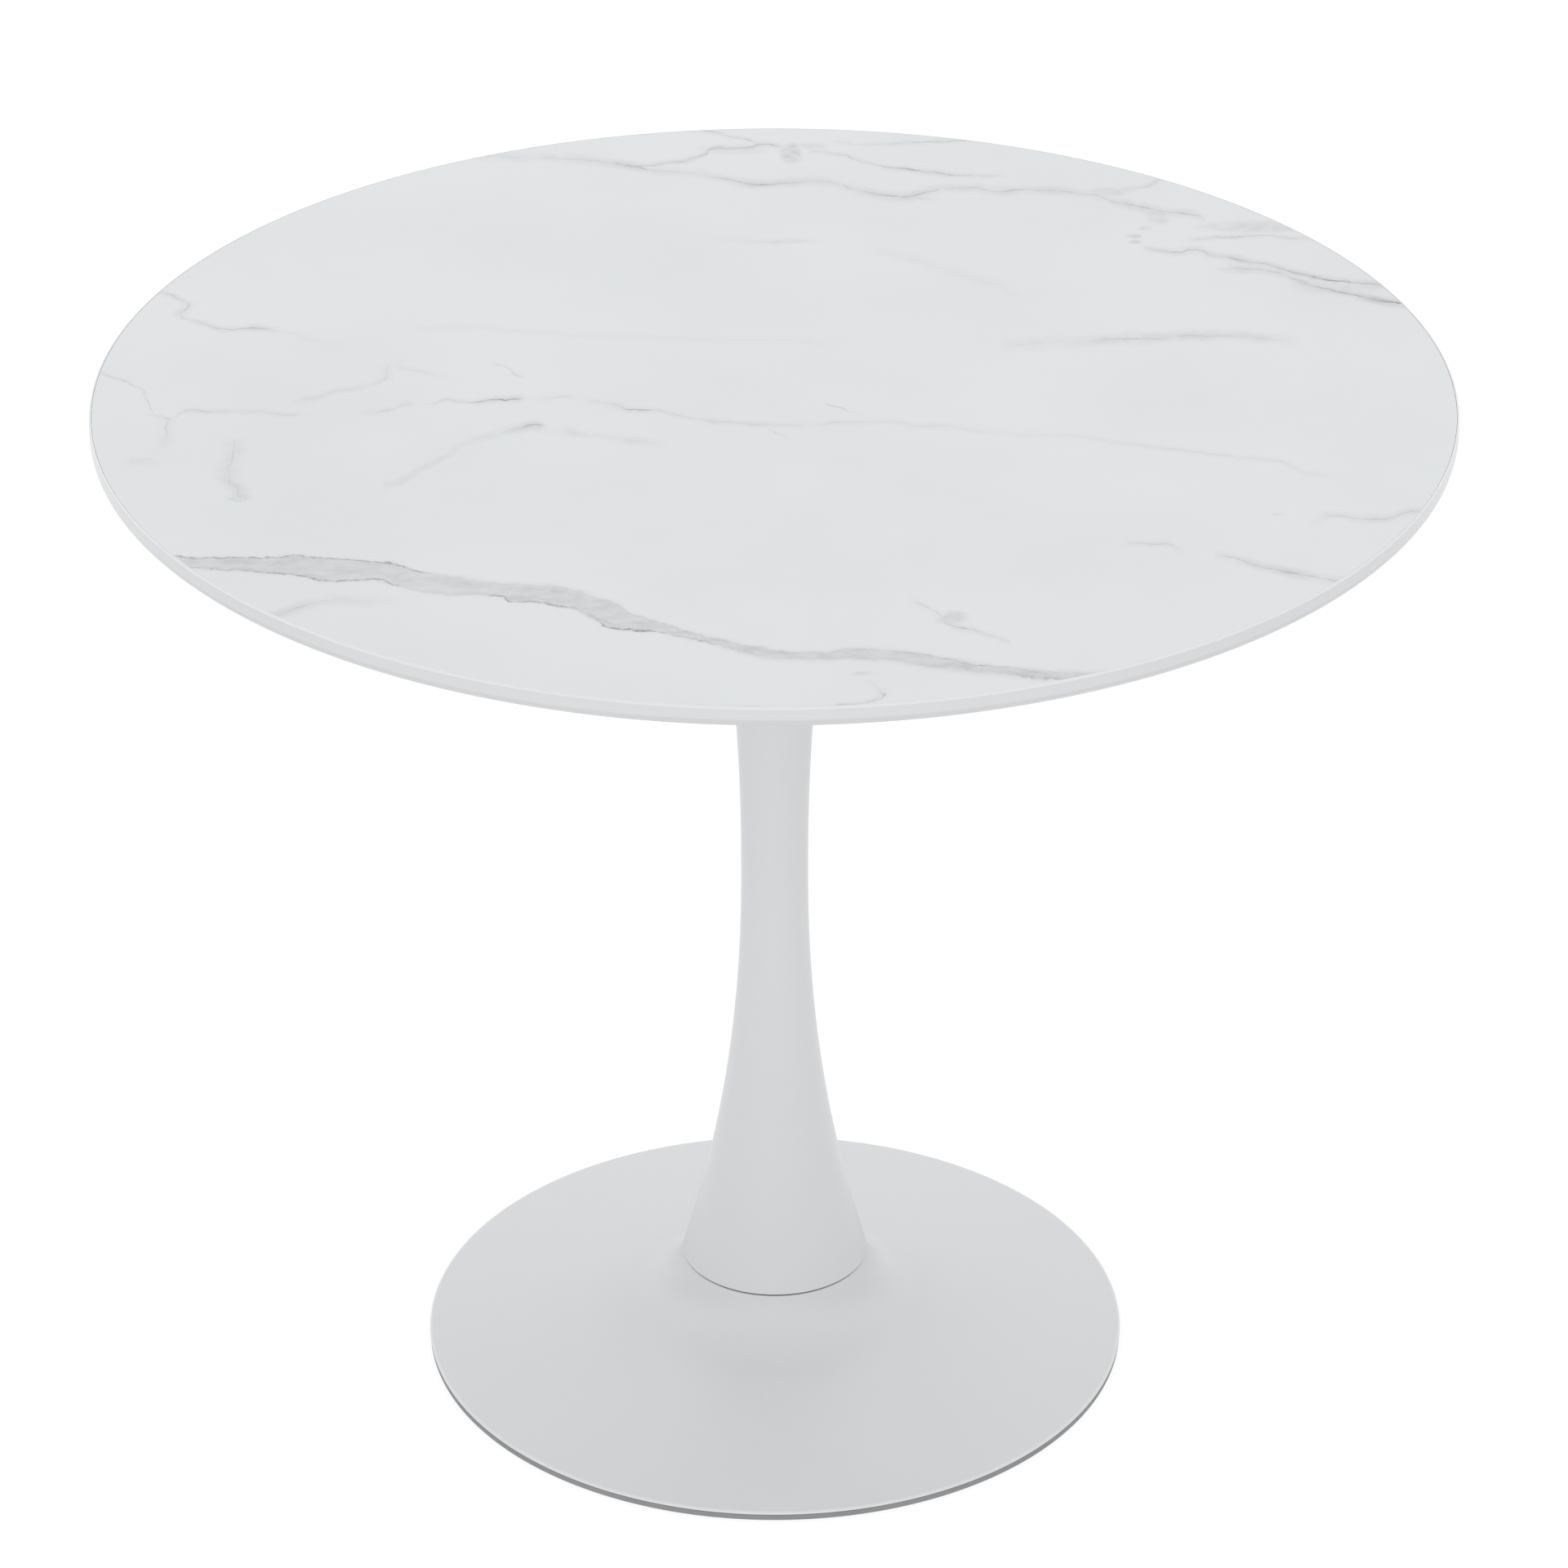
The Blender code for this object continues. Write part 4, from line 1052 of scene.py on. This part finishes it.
def buildTop(settings):
    steps = settings["steps"]
    low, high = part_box("tabletop_board")
    sheetLow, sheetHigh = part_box("marble_face_sheet")
    radius, arris, undercut = high.x, settings["arris"], settings["undercut"]
    bevel = settings["bevelWidth"]
    bandTop = high.z - arris
    bandFoot = low.z + settings["bevelDrop"] + undercut
    board = [
        (0.0, sheetLow.z - gap),
        (radius - arris, sheetLow.z - gap),
        *arcPoints((radius - arris, bandTop), arris, 90, 0, 8),
        (radius, (bandTop + bandFoot) / 2),
        *arcPoints((radius - undercut, bandFoot), undercut, 0, -90, 14),
        (radius - undercut - bevel / 2, low.z + settings["bevelHollow"] * settings["bevelDrop"]),
        (radius - undercut - bevel, low.z),
        (0.0, low.z),
    ]
    foot, depth = low.z - holeSpare, low.z + settings["insertDepth"]
    holes = [(plateBolts, plateBoltRadius, settings["insertHole"], foot, depth, 24)]
    mesh = drilledMesh(turnedMesh("boardBlank", board, steps, False), holes)
    finishPiece("lacqueredBoard", mesh, "lacquered_board", ["tabletop_board"])

    edge = settings["printArris"]
    sheet = [
        (0.0, sheetHigh.z),
        (sheetHigh.x - edge, sheetHigh.z),
        (sheetHigh.x, sheetHigh.z - edge),
        (sheetHigh.x, sheetLow.z),
        (0.0, sheetLow.z),
    ]
    mesh = turnedMesh("sheet", sheet, steps, False)
    finishPiece("marblePrintSheet", mesh, "marble_print", ["marble_face_sheet"])

    backLow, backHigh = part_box("backing_sheet")
    backing = [
        (0.0, backHigh.z),
        (backHigh.x - edge, backHigh.z),
        (backHigh.x, backHigh.z - edge),
        (backHigh.x, backLow.z + edge),
        (backHigh.x - edge, backLow.z),
        (0.0, backLow.z),
    ]
    foot, roof = backLow.z - holeSpare, backHigh.z + holeSpare
    holes = [(plateBolts, plateBoltRadius, settings["insertHole"], foot, roof, 24)]
    mesh = drilledMesh(turnedMesh("backing", backing, steps // 2, False), holes)
    finishPiece("backingSheet", mesh, "white_backing", ["backing_sheet"])


buildTop(topSettings)
print("table top built")


# Column: a node tree turns the flared tube from its sizes

columnSettings = {
    "Neck Radius": 0.023,
    "Neck Height": 0.372,
    "End Radius": 0.065,
    "Wall": 0.0015,
    "Lower Flare": 2.15,
    "Upper Flare": 2.35,
    "Steps": 192,
    "Rows": 150,
}


def addInput(tree, name, kind, value):
    socket = tree.interface.new_socket(name, in_out="INPUT", socket_type=kind)
    if value is not None:
        socket.default_value = value
    return socket


def columnTree():
    tree = bpy.data.node_groups.new("flaredTube", "GeometryNodeTree")
    for name in ("Neck Radius", "Neck Height", "End Radius", "Foot Height", "Head Height", "Wall"):
        addInput(tree, name, "NodeSocketFloat", 0.1)
    for name in ("Lower Flare", "Upper Flare"):
        addInput(tree, name, "NodeSocketFloat", 2.0)
    for name in ("Steps", "Rows"):
        addInput(tree, name, "NodeSocketInt", 32)
    addInput(tree, "Finish", "NodeSocketMaterial", None)
    tree.interface.new_socket("Geometry", in_out="OUTPUT", socket_type="NodeSocketGeometry")
    graph = Graph(tree)
    source = graph.node("NodeGroupInput")
    given = {socket.name: Flow(graph, socket) for socket in source.outputs if socket.name}

    # a sheet one unit square: across it the turn, up it the wall, down the outside and up the inside
    grid = graph.node(
        "GeometryNodeMeshGrid",
        None,
        {
            "Size X": 1.0,
            "Size Y": 1.0,
            "Vertices X": given["Steps"] + 1,
            "Vertices Y": given["Rows"] * 2 + 2,
        },
    )
    place = graph.node("GeometryNodeInputPosition")
    axes = graph.node("ShaderNodeSeparateXYZ", None, {"Vector": place.outputs[0]})
    turn = (Flow(graph, axes.outputs[0]) + 0.5) * math.tau
    row = (Flow(graph, axes.outputs[1]) + 0.5) * (given["Rows"] * 2 + 1)
    inside = row.greater(given["Rows"] + 0.5)
    climb = row * (1 - inside) + (given["Rows"] * 2 + 1 - row) * inside
    share = climb / given["Rows"]  # 0 at the head, 1 at the foot
    height = given["Head Height"] + (given["Foot Height"] - given["Head Height"]) * share
    below = (given["Neck Height"] - height).largest(0.0)
    above = (height - given["Neck Height"]).largest(0.0)
    flare = (below / (given["Neck Height"] - given["Foot Height"])) ** given["Lower Flare"]
    flare = flare + (above / (given["Head Height"] - given["Neck Height"])) ** given["Upper Flare"]
    radius = given["Neck Radius"] + (given["End Radius"] - given["Neck Radius"]) * flare
    radius = radius - inside * given["Wall"]
    placed = graph.node(
        "ShaderNodeCombineXYZ",
        None,
        {0: radius * turn.calculate("COSINE"), 1: radius * turn.calculate("SINE"), 2: height},
    )
    moved = graph.node(
        "GeometryNodeSetPosition",
        None,
        {"Geometry": grid.outputs["Mesh"], "Position": placed.outputs[0]},
    )
    welded = graph.node(
        "GeometryNodeMergeByDistance", None, {"Geometry": moved.outputs[0], "Distance": 0.00001}
    )
    real = graph.node("GeometryNodeRealizeInstances", None, {"Geometry": welded.outputs[0]})
    coated = graph.node(
        "GeometryNodeSetMaterial", None, {"Geometry": real.outputs[0], "Material": given["Finish"]}
    )
    graph.node("NodeGroupOutput", None, {"Geometry": coated.outputs[0]})
    return tree


def runTree(tree, values):
    # evaluates a tree on an empty mesh and hands back the plain mesh
    holder = newPiece("treeHolder", bpy.data.meshes.new("treeHolder"))
    modifier = holder.modifiers.new("tree", "NODES")
    modifier.node_group = tree
    for item in tree.interface.items_tree:
        if item.in_out == "INPUT" and item.name in values:
            modifier[item.identifier] = values[item.name]
    mesh = appliedMesh(holder)
    holder.modifiers.remove(modifier)
    bpy.data.objects.remove(holder, do_unlink=True)
    return mesh


def closedShell(mesh):
    # closes the last row of a turned sheet and makes its faces look outwards
    shape = bmesh.new()
    shape.from_mesh(mesh)
    bmesh.ops.remove_doubles(shape, verts=shape.verts, dist=0.00001)
    openEdges = [edge for edge in shape.edges if edge.is_boundary]
    if openEdges:
        bmesh.ops.bridge_loops(shape, edges=openEdges)
    bmesh.ops.recalc_face_normals(shape, faces=shape.faces)
    shape.to_mesh(mesh)
    shape.free()


def buildColumn(settings):
    low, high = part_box("column_shell")
    values = dict(settings)
    values["Foot Height"] = low.z
    values["Head Height"] = high.z
    values["Finish"] = finishes["powder_coat"]
    mesh = runTree(columnTree(), values)
    closedShell(mesh)
    finishPiece("flaredColumn", mesh, "powder_coat", ["column_shell"], 50)


buildColumn(columnSettings)
print("column turned")


# Mounting plate and the weld under the column's head

plateSettings = {
    "steps": 240,
    "edge": 0.0006,
    "bore": 0.015,
    "boltHole": 0.0036,
    "weldLeg": 0.0026,
    "weldSink": 0.0001,  # how far the bead reaches into the column
    "weldRipples": 170,
    "weldRipple": 0.00022,
}


def buildWeld(settings, radius, top):
    # a small fillet bead, rippled along its length
    steps = settings["weldRipples"] * 4
    leg = settings["weldLeg"]
    section = [(0.0, 0.0), (leg, 0.0), (0.8 * leg, -0.38 * leg), (0.45 * leg, -0.75 * leg), (0.0, -leg)]
    shape = bmesh.new()
    rings = []
    for i in range(steps):
        angle = math.tau * i / steps
        swell = 1 + settings["weldRipple"] / leg * math.sin(angle * settings["weldRipples"])
        rings.append([
            shape.verts.new((
                (radius + out * swell) * math.cos(angle),
                (radius + out * swell) * math.sin(angle),
                top + down * swell,
            ))
            for out, down in section
        ])
    for i in range(steps):
        first, second = rings[i], rings[(i + 1) % steps]
        for j in range(len(first)):
            k = (j + 1) % len(first)
            shape.faces.new((first[j], first[k], second[k], second[j]))
    bmesh.ops.recalc_face_normals(shape, faces=shape.faces)
    mesh = bpy.data.meshes.new("weld")
    shape.to_mesh(mesh)
    shape.free()
    finishPiece("headWeld", mesh, "powder_coat", [], 60)


def buildPlate(settings):
    low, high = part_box("mounting_plate")
    edge, bore = settings["edge"], settings["bore"]
    outline = [
        (bore + edge, high.z),
        *arcPoints((high.x - edge, high.z - edge), edge, 90, 0, 4),
        *arcPoints((high.x - edge, low.z + edge), edge, 0, -90, 4),
        *arcPoints((bore + edge, low.z + edge), edge, -90, -180, 4),
        (bore, high.z - edge),
    ]
    foot, roof = low.z - holeSpare, high.z + holeSpare
    holes = [(plateBolts, plateBoltRadius, settings["boltHole"], foot, roof, 32)]
    mesh = drilledMesh(turnedMesh("plate", outline, settings["steps"]), holes)
    finishPiece("mountingPlate", mesh, "powder_coat", ["mounting_plate"])
    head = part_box("column_shell")[1]
    buildWeld(settings, columnSettings["End Radius"] - settings["weldSink"], head.z)


buildPlate(plateSettings)


# Base: shoulder, hollow sweep, straight cone and rounded rim, as a thin shell

baseSettings = {
    "steps": 300,
    "bore": 0.018,
    "shoulderEdge": 0.0018,
    "sweep": 0.048,
    "wall": 0.002,
    "rimHeight": 0.0064,
    "rimRound": 0.0015,
    "rimLift": 0.0001,
    "rimLand": 0.007,
    "boltHole": 0.0046,
    "trimWidth": 0.0085,
    "trimRound": 0.0007,
}


def footSlope():  # of the column's side where it meets the base, below the horizontal
    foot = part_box("column_shell")[0]
    fall = columnSettings["Neck Height"] - foot.z
    spread = columnSettings["End Radius"] - columnSettings["Neck Radius"]
    return math.atan2(fall, columnSettings["Lower Flare"] * spread)


def coneSlope(settings, first, startRadius, startHeight):
    # the slope that leads from the end of the sweep to the rim, found by halving
    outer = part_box("base_shell")[1].x
    low, high = 0.0, first
    for _ in range(50):
        angle = (low + high) / 2
        radius = startRadius + settings["sweep"] * (math.sin(first) - math.sin(angle))
        height = startHeight - settings["sweep"] * (math.cos(angle) - math.cos(first))
        if (outer - radius) * math.tan(angle) < height - settings["rimHeight"]:
            low = angle
        else:
            high = angle
    return angle


def buildBase(settings):
    low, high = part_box("base_shell")
    shoulder, edge, wall = columnSettings["End Radius"], settings["shoulderEdge"], settings["wall"]
    first = footSlope()
    start = (shoulder, high.z - edge)
    slope = coneSlope(settings, first, *start)
    turn = settings["sweep"]
    centre = (start[0] + turn * math.sin(first), start[1] + turn * math.cos(first))
    fromAngle, toAngle = -90 - math.degrees(first), -90 - math.degrees(slope)
    outside = arcPoints(centre, turn, fromAngle, toAngle, 28)
    inside = arcPoints(centre, turn + wall, fromAngle, toAngle, 20)

    def coneHeight(radius, depth=0.0):
        return settings["rimHeight"] + (high.x - radius) * math.tan(slope) - depth / math.cos(slope)

    rim = settings["rimRound"]
    land = high.x - settings["rimLand"]
    rimCentre = (high.x - rim, settings["rimHeight"] - rim + settings["rimLift"])
    outline = [
        (settings["bore"], high.z),
        *arcPoints((shoulder - edge, high.z - edge), edge, 90, 90 - math.degrees(first), 6),
        *outside,
        *[(high.x * share, coneHeight(high.x * share)) for share in (0.6, 0.8)],
        (high.x - 3 * rim, coneHeight(high.x - 3 * rim)),
        *arcPoints(rimCentre, rim, 90 - math.degrees(slope), 0, 8),
        (high.x - gap, low.z),
        (land, low.z),
        (land, coneHeight(land, wall)),
        *inside[::-1],
        (inside[0][0] - edge / 4, high.z - wall),
        (settings["bore"], high.z - wall),
    ]
    holes = [(footBolts, footBoltRadius, settings["boltHole"], high.z - 2 * wall, high.z + wall, 32)]
    mesh = drilledMesh(turnedMesh("base", outline, settings["steps"]), holes)
    finishPiece("trumpetBase", mesh, "powder_coat", ["base_shell"], 40)

    trimLow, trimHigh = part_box("edge_trim")
    soft = settings["trimRound"]
    inner = trimHigh.x - settings["trimWidth"]
    trim = [
        (inner, trimHigh.z),
        *arcPoints((trimHigh.x - soft, trimHigh.z - soft), soft, 90, 0, 4),
        *arcPoints((trimHigh.x - soft, trimLow.z + soft), soft, 0, -90, 4),
        *arcPoints((inner + soft, trimLow.z + soft), soft, -90, -180, 4),
    ]
    finishPiece("rimTrim", turnedMesh("trim", trim, settings["steps"]), "grey_rubber", ["edge_trim"])


buildBase(baseSettings)
print("base spun")


# Joint plates and ballast

jointSettings = {
    "steps": 128,
    "edge": 0.0005,
    "bore": baseSettings["bore"],
    "boltHole": baseSettings["boltHole"],
}


def buildJointPlate(settings, node, name, slot):
    low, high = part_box(node)
    edge, bore = settings["edge"], settings["bore"]
    outline = [
        *arcPoints((high.x - edge, high.z - edge), edge, 90, 0, 3),
        *arcPoints((high.x - edge, low.z + edge), edge, 0, -90, 3),
        *arcPoints((bore + edge, low.z + edge), edge, -90, -180, 3),
        *arcPoints((bore + edge, high.z - edge), edge, 180, 90, 3),
    ]
    foot, roof = low.z - holeSpare, high.z + holeSpare
    holes = [(footBolts, footBoltRadius, settings["boltHole"], foot, roof, 32)]
    mesh = drilledMesh(turnedMesh(name, outline, settings["steps"]), holes)
    finishPiece(name, mesh, slot, [node])


buildJointPlate(jointSettings, "base_clamp_plate", "clampPlate", "zinc_plate")
buildJointPlate(jointSettings, "column_foot_flange", "footFlange", "powder_coat")

ballastSettings = {
    "steps": 200,
    "round": 0.0012,
    "clearance": 0.0023,  # below the cone's outer face
    "studHole": 0.0036,
    "pocket": 0.0080,
    "pocketDepth": 0.0062,
}


def buildBallast(settings):
    low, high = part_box("ballast_ring")
    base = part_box("base_shell")[1]
    first = footSlope()
    start = (columnSettings["End Radius"], base.z - baseSettings["shoulderEdge"])
    slope = coneSlope(baseSettings, first, *start)
    inner = start[0] + baseSettings["sweep"] * (math.sin(first) - math.sin(slope)) + baseSettings["wall"]
    soft = settings["round"]

    def roof(radius):
        rise = (base.x - radius) * math.tan(slope)
        return baseSettings["rimHeight"] + rise - settings["clearance"] / math.cos(slope)

    outline = [
        (inner + soft, roof(inner + soft)),
        (high.x - soft, roof(high.x - soft)),
        (high.x, roof(high.x) - 0.3 * soft),
        *arcPoints((high.x - soft, low.z + soft), soft, 0, -90, 4),
        *arcPoints((inner + soft, low.z + soft), soft, -90, -180, 4),
        (inner, roof(inner) - soft),
    ]
    studHoles = [(studs, studRadius, settings["studHole"], -holeSpare, base.z, 24)]
    pocketTop = low.z + settings["pocketDepth"]
    pockets = [(studs, studRadius, settings["pocket"], -holeSpare, pocketTop, 32)]
    mesh = drilledMesh(turnedMesh("ballast", outline, settings["steps"]), studHoles)
    mesh = drilledMesh(mesh, pockets)  # apart, because the two cutters overlap
    finishPiece("ballastCasting", mesh, "cast_iron", ["ballast_ring"])


buildBallast(ballastSettings)
print("joint plates and ballast made")


# Fasteners: one model of each, set round its circle by a node tree

fastenerSettings = {"sides": 48, "hexShare": 0.94, "threadPitch": 0.001, "threadDepth": 0.00035}


def loftedPiece(name, rings, closed=False):
    # rings of (size, height, hexagonal) run down the outer side; size is a radius or half the flats
    sides = fastenerSettings["sides"]
    shape = bmesh.new()
    loops = []
    for size, height, hexagonal in rings:
        loop = []
        for i in range(sides):
            angle = math.tau * i / sides
            radius = size
            if hexagonal:
                radius = size / math.cos((angle + math.pi / 6) % (math.pi / 3) - math.pi / 6)
            loop.append(shape.verts.new((radius * math.cos(angle), radius * math.sin(angle), height)))
        loops.append(loop)
    pairs = list(zip(loops, loops[1:]))
    if closed:
        pairs.append((loops[-1], loops[0]))
    else:
        shape.faces.new(loops[0])
        shape.faces.new(reversed(loops[-1]))
    for upper, lower in pairs:
        for i in range(sides):
            j = (i + 1) % sides
            shape.faces.new((upper[i], lower[i], lower[j], upper[j]))
    mesh = bpy.data.meshes.new(name)
    shape.to_mesh(mesh)
    shape.free()
    smoothed(mesh)
    return newPiece(name, mesh)


def threadRings(radius, top, bottom):  # a cut thread as a row of grooves, from the top down
    pitch, depth = fastenerSettings["threadPitch"], fastenerSettings["threadDepth"]
    rings = []
    height = top
    while height - pitch > bottom:
        rings.append((radius - depth, height, False))
        rings.append((radius, height - pitch / 2, False))
        height -= pitch
    rings.append((radius - depth, height, False))
    return rings


def ringTree():
    tree = bpy.data.node_groups.new("ringOfPieces", "GeometryNodeTree")
    addInput(tree, "Piece", "NodeSocketObject", None)
    addInput(tree, "Count", "NodeSocketInt", 4)
    for name in ("Circle", "Level"):
        addInput(tree, name, "NodeSocketFloat", 0.1)
    addInput(tree, "Finish", "NodeSocketMaterial", None)
    tree.interface.new_socket("Geometry", in_out="OUTPUT", socket_type="NodeSocketGeometry")
    graph = Graph(tree)
    source = graph.node("NodeGroupInput")
    given = {socket.name: Flow(graph, socket) for socket in source.outputs if socket.name}
    circle = graph.node(
        "GeometryNodeMeshCircle", None, {"Vertices": given["Count"], "Radius": given["Circle"]}
    )
    offset = graph.node("ShaderNodeCombineXYZ", None, {2: given["Level"]})
    halfStep = graph.node(
        "FunctionNodeAxisAngleToRotation", None, {"Axis": (0, 0, 1), "Angle": math.pi / given["Count"]}
    )
    turned = graph.node(
        "GeometryNodeTransform",
        None,
        {
            "Geometry": circle.outputs[0],
            "Translation": offset.outputs[0],
            "Rotation": halfStep.outputs[0],
        },
    )
    place = graph.node("GeometryNodeInputPosition")
    axes = graph.node("ShaderNodeSeparateXYZ", None, {"Vector": place.outputs[0]})
    facing = Flow(graph, axes.outputs[1]).calculate("ARCTAN2", Flow(graph, axes.outputs[0]))
    rotation = graph.node(
        "FunctionNodeAxisAngleToRotation", None, {"Axis": (0, 0, 1), "Angle": facing}
    )
    piece = graph.node("GeometryNodeObjectInfo", None, {"Object": given["Piece"]})
    spread = graph.node(
        "GeometryNodeInstanceOnPoints",
        None,
        {
            "Points": turned.outputs[0],
            "Instance": piece.outputs["Geometry"],
            "Rotation": rotation.outputs[0],
        },
    )
    real = graph.node("GeometryNodeRealizeInstances", None, {"Geometry": spread.outputs[0]})
    coated = graph.node(
        "GeometryNodeSetMaterial", None, {"Geometry": real.outputs[0], "Material": given["Finish"]}
    )
    graph.node("NodeGroupOutput", None, {"Geometry": coated.outputs[0]})
    return tree


ringOfPieces = ringTree()


def setRound(name, model, prefix, count, circle, level):
    values = {
        "Piece": model,
        "Count": count,
        "Circle": circle,
        "Level": level,
        "Finish": finishes["zinc_plate"],
    }
    mesh = runTree(ringOfPieces, values)
    bpy.data.objects.remove(model, do_unlink=True)
    finishPiece(name, mesh, "zinc_plate", [f"{prefix}_{i + 1}" for i in range(count)])


plateBoltSettings = {
    "head": 0.0062,
    "headHeight": 0.0034,
    "domeTurn": 60,  # degrees
    "shank": 0.003,
    "threadStart": 0.002,
    "socket": 0.002,  # half the width across its flats
    "socketDepth": 0.002,
    "round": 0.0002,
}


def buildPlateBolts(settings):
    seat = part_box("mounting_plate")[0].z - gap
    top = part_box("plate_bolt_1")[1].z - seat
    head, shank, socket = settings["head"], settings["shank"], settings["socket"]
    soft, pitch, threadStart = settings["round"], fastenerSettings["threadPitch"], settings["threadStart"]
    rim = settings["headHeight"] / 4
    dome = settings["headHeight"] - rim
    turns = [math.radians(settings["domeTurn"] * i / 8) for i in range(9)]
    face = rim + dome * math.sin(turns[-1])
    model = loftedPiece("plateBolt", [
        (0.8 * shank, top, False),
        *threadRings(shank, top - pitch, threadStart),
        (shank, threadStart - pitch, False),
        (shank, 0.0, False),
        (head - soft, 0.0, False),
        (head, -soft, False),
        *[(head * math.cos(turn), -rim - dome * math.sin(turn), False) for turn in turns],
        (socket + 2 * soft, -face, False),
        (socket + soft / 2, soft - face, True),
        (socket, 2 * soft - face, True),
        (socket, settings["socketDepth"] - face, True),
    ])
    setRound("plateBolts", model, "plate_bolt", plateBolts, plateBoltRadius, seat)


footBoltSettings = {
    "flats": 0.0065,  # half the width across them
    "headHeight": 0.0053,
    "shank": 0.004,
    "threadStart": 0.006,
    "faceStep": 0.0003,  # the round face under the head, and the dish in its end
    "washer": 0.0083,
    "washerBore": 0.0043,
    "washerRound": 0.0002,
}


def buildFootBolts(settings):
    low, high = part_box("foot_bolt_1")
    flats, headHeight, shank = settings["flats"], settings["headHeight"], settings["shank"]
    step, pitch, threadStart = settings["faceStep"], fastenerSettings["threadPitch"], settings["threadStart"]
    seat = low.z + headHeight
    top = high.z - seat
    chamfer = (1 - fastenerSettings["hexShare"]) * flats
    model = loftedPiece("footBolt", [
        (0.8 * shank, top, False),
        *threadRings(shank, top - pitch, threadStart),
        (shank, threadStart - pitch, False),
        (shank, 0.0, False),
        (0.97 * flats, 0.0, False),
        (0.97 * flats, -step, False),
        (flats, -step - chamfer / 2, True),
        (flats, chamfer * 1.4 - headHeight, True),
        (0.985 * flats, chamfer * 0.5 - headHeight, False),
        (flats - chamfer, -headHeight, False),
        (0.66 * flats, -headHeight, False),
        (0.62 * flats, step - headHeight, False),
    ])
    setRound("footBolts", model, "foot_bolt", footBolts, footBoltRadius, seat)

    low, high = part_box("foot_washer_1")
    outer, bore, soft = settings["washer"], settings["washerBore"], settings["washerRound"]
    thick = high.z - low.z
    model = loftedPiece("footWasher", [
        (outer - soft, 0.0, False),
        (outer, -soft, False),
        (outer, soft - thick, False),
        (outer - soft, -thick, False),
        (bore, -thick, False),
        (bore, 0.0, False),
    ], closed=True)
    setRound("footWashers", model, "foot_washer", footBolts, footBoltRadius, high.z)


springWasherSettings = {
    "outer": 0.0072,
    "bore": 0.0043,
    "split": 14,  # degrees
    "round": 0.0002,
    "steps": 44,
}


def buildSpringWashers(settings):
    low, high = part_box("foot_spring_washer_1")
    outer, bore, soft = settings["outer"], settings["bore"], settings["round"]
    split, steps = math.radians(settings["split"]), settings["steps"]
    thick = high.z - low.z
    section = [
        (outer - soft, 0.0),
        (outer, -soft),
        (outer, soft - thick),
        (outer - soft, -thick),
        (bore, -thick),
        (bore, 0.0),
    ]
    shape = bmesh.new()
    loops = []
    for i in range(steps + 1):
        angle = split / 2 + (math.tau - split) * i / steps
        loops.append([
            shape.verts.new((radius * math.cos(angle), radius * math.sin(angle), height))
            for radius, height in section
        ])
    for before, after in zip(loops, loops[1:]):
        for side in range(len(section)):
            following = (side + 1) % len(section)
            shape.faces.new((before[side], before[following], after[following], after[side]))
    shape.faces.new(loops[0][::-1])
    shape.faces.new(loops[-1])
    mesh = bpy.data.meshes.new("springWasher")
    shape.to_mesh(mesh)
    shape.free()
    smoothed(mesh)
    model = newPiece("springWasher", mesh)
    setRound("springWashers", model, "foot_spring_washer", footBolts, footBoltRadius, high.z)


ballastNutSettings = {
    "flats": 0.005,  # half the width across them
    "bore": 0.0033,
    "boreRound": 0.0004,
}


def buildBallastNuts(settings):
    low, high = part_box("ballast_nut_1")
    flats, bore, soft = settings["flats"], settings["bore"], settings["boreRound"]
    height = high.z - low.z
    chamfer = (1 - fastenerSettings["hexShare"]) * flats
    model = loftedPiece("ballastNut", [
        (flats - chamfer, 0.0, False),
        (0.985 * flats, -chamfer * 0.5, False),
        (flats, -chamfer * 1.4, True),
        (flats, chamfer * 1.4 - height, True),
        (0.985 * flats, chamfer * 0.5 - height, False),
        (flats - chamfer, -height, False),
        (bore + soft, -height, False),
        (bore, soft - height, False),
        (bore, -soft, False),
        (bore + soft, 0.0, False),
    ], closed=True)
    setRound("ballastNuts", model, "ballast_nut", studs, studRadius, high.z)


buildPlateBolts(plateBoltSettings)
buildFootBolts(footBoltSettings)
buildSpringWashers(springWasherSettings)
buildBallastNuts(ballastNutSettings)
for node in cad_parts.values():  # these keep their solids and only get the finish
    if node.name.startswith(("insert_nut", "ballast_stud")):
        node.data.materials.clear()
        node.data.materials.append(finishes["zinc_plate"])
print("fasteners set")
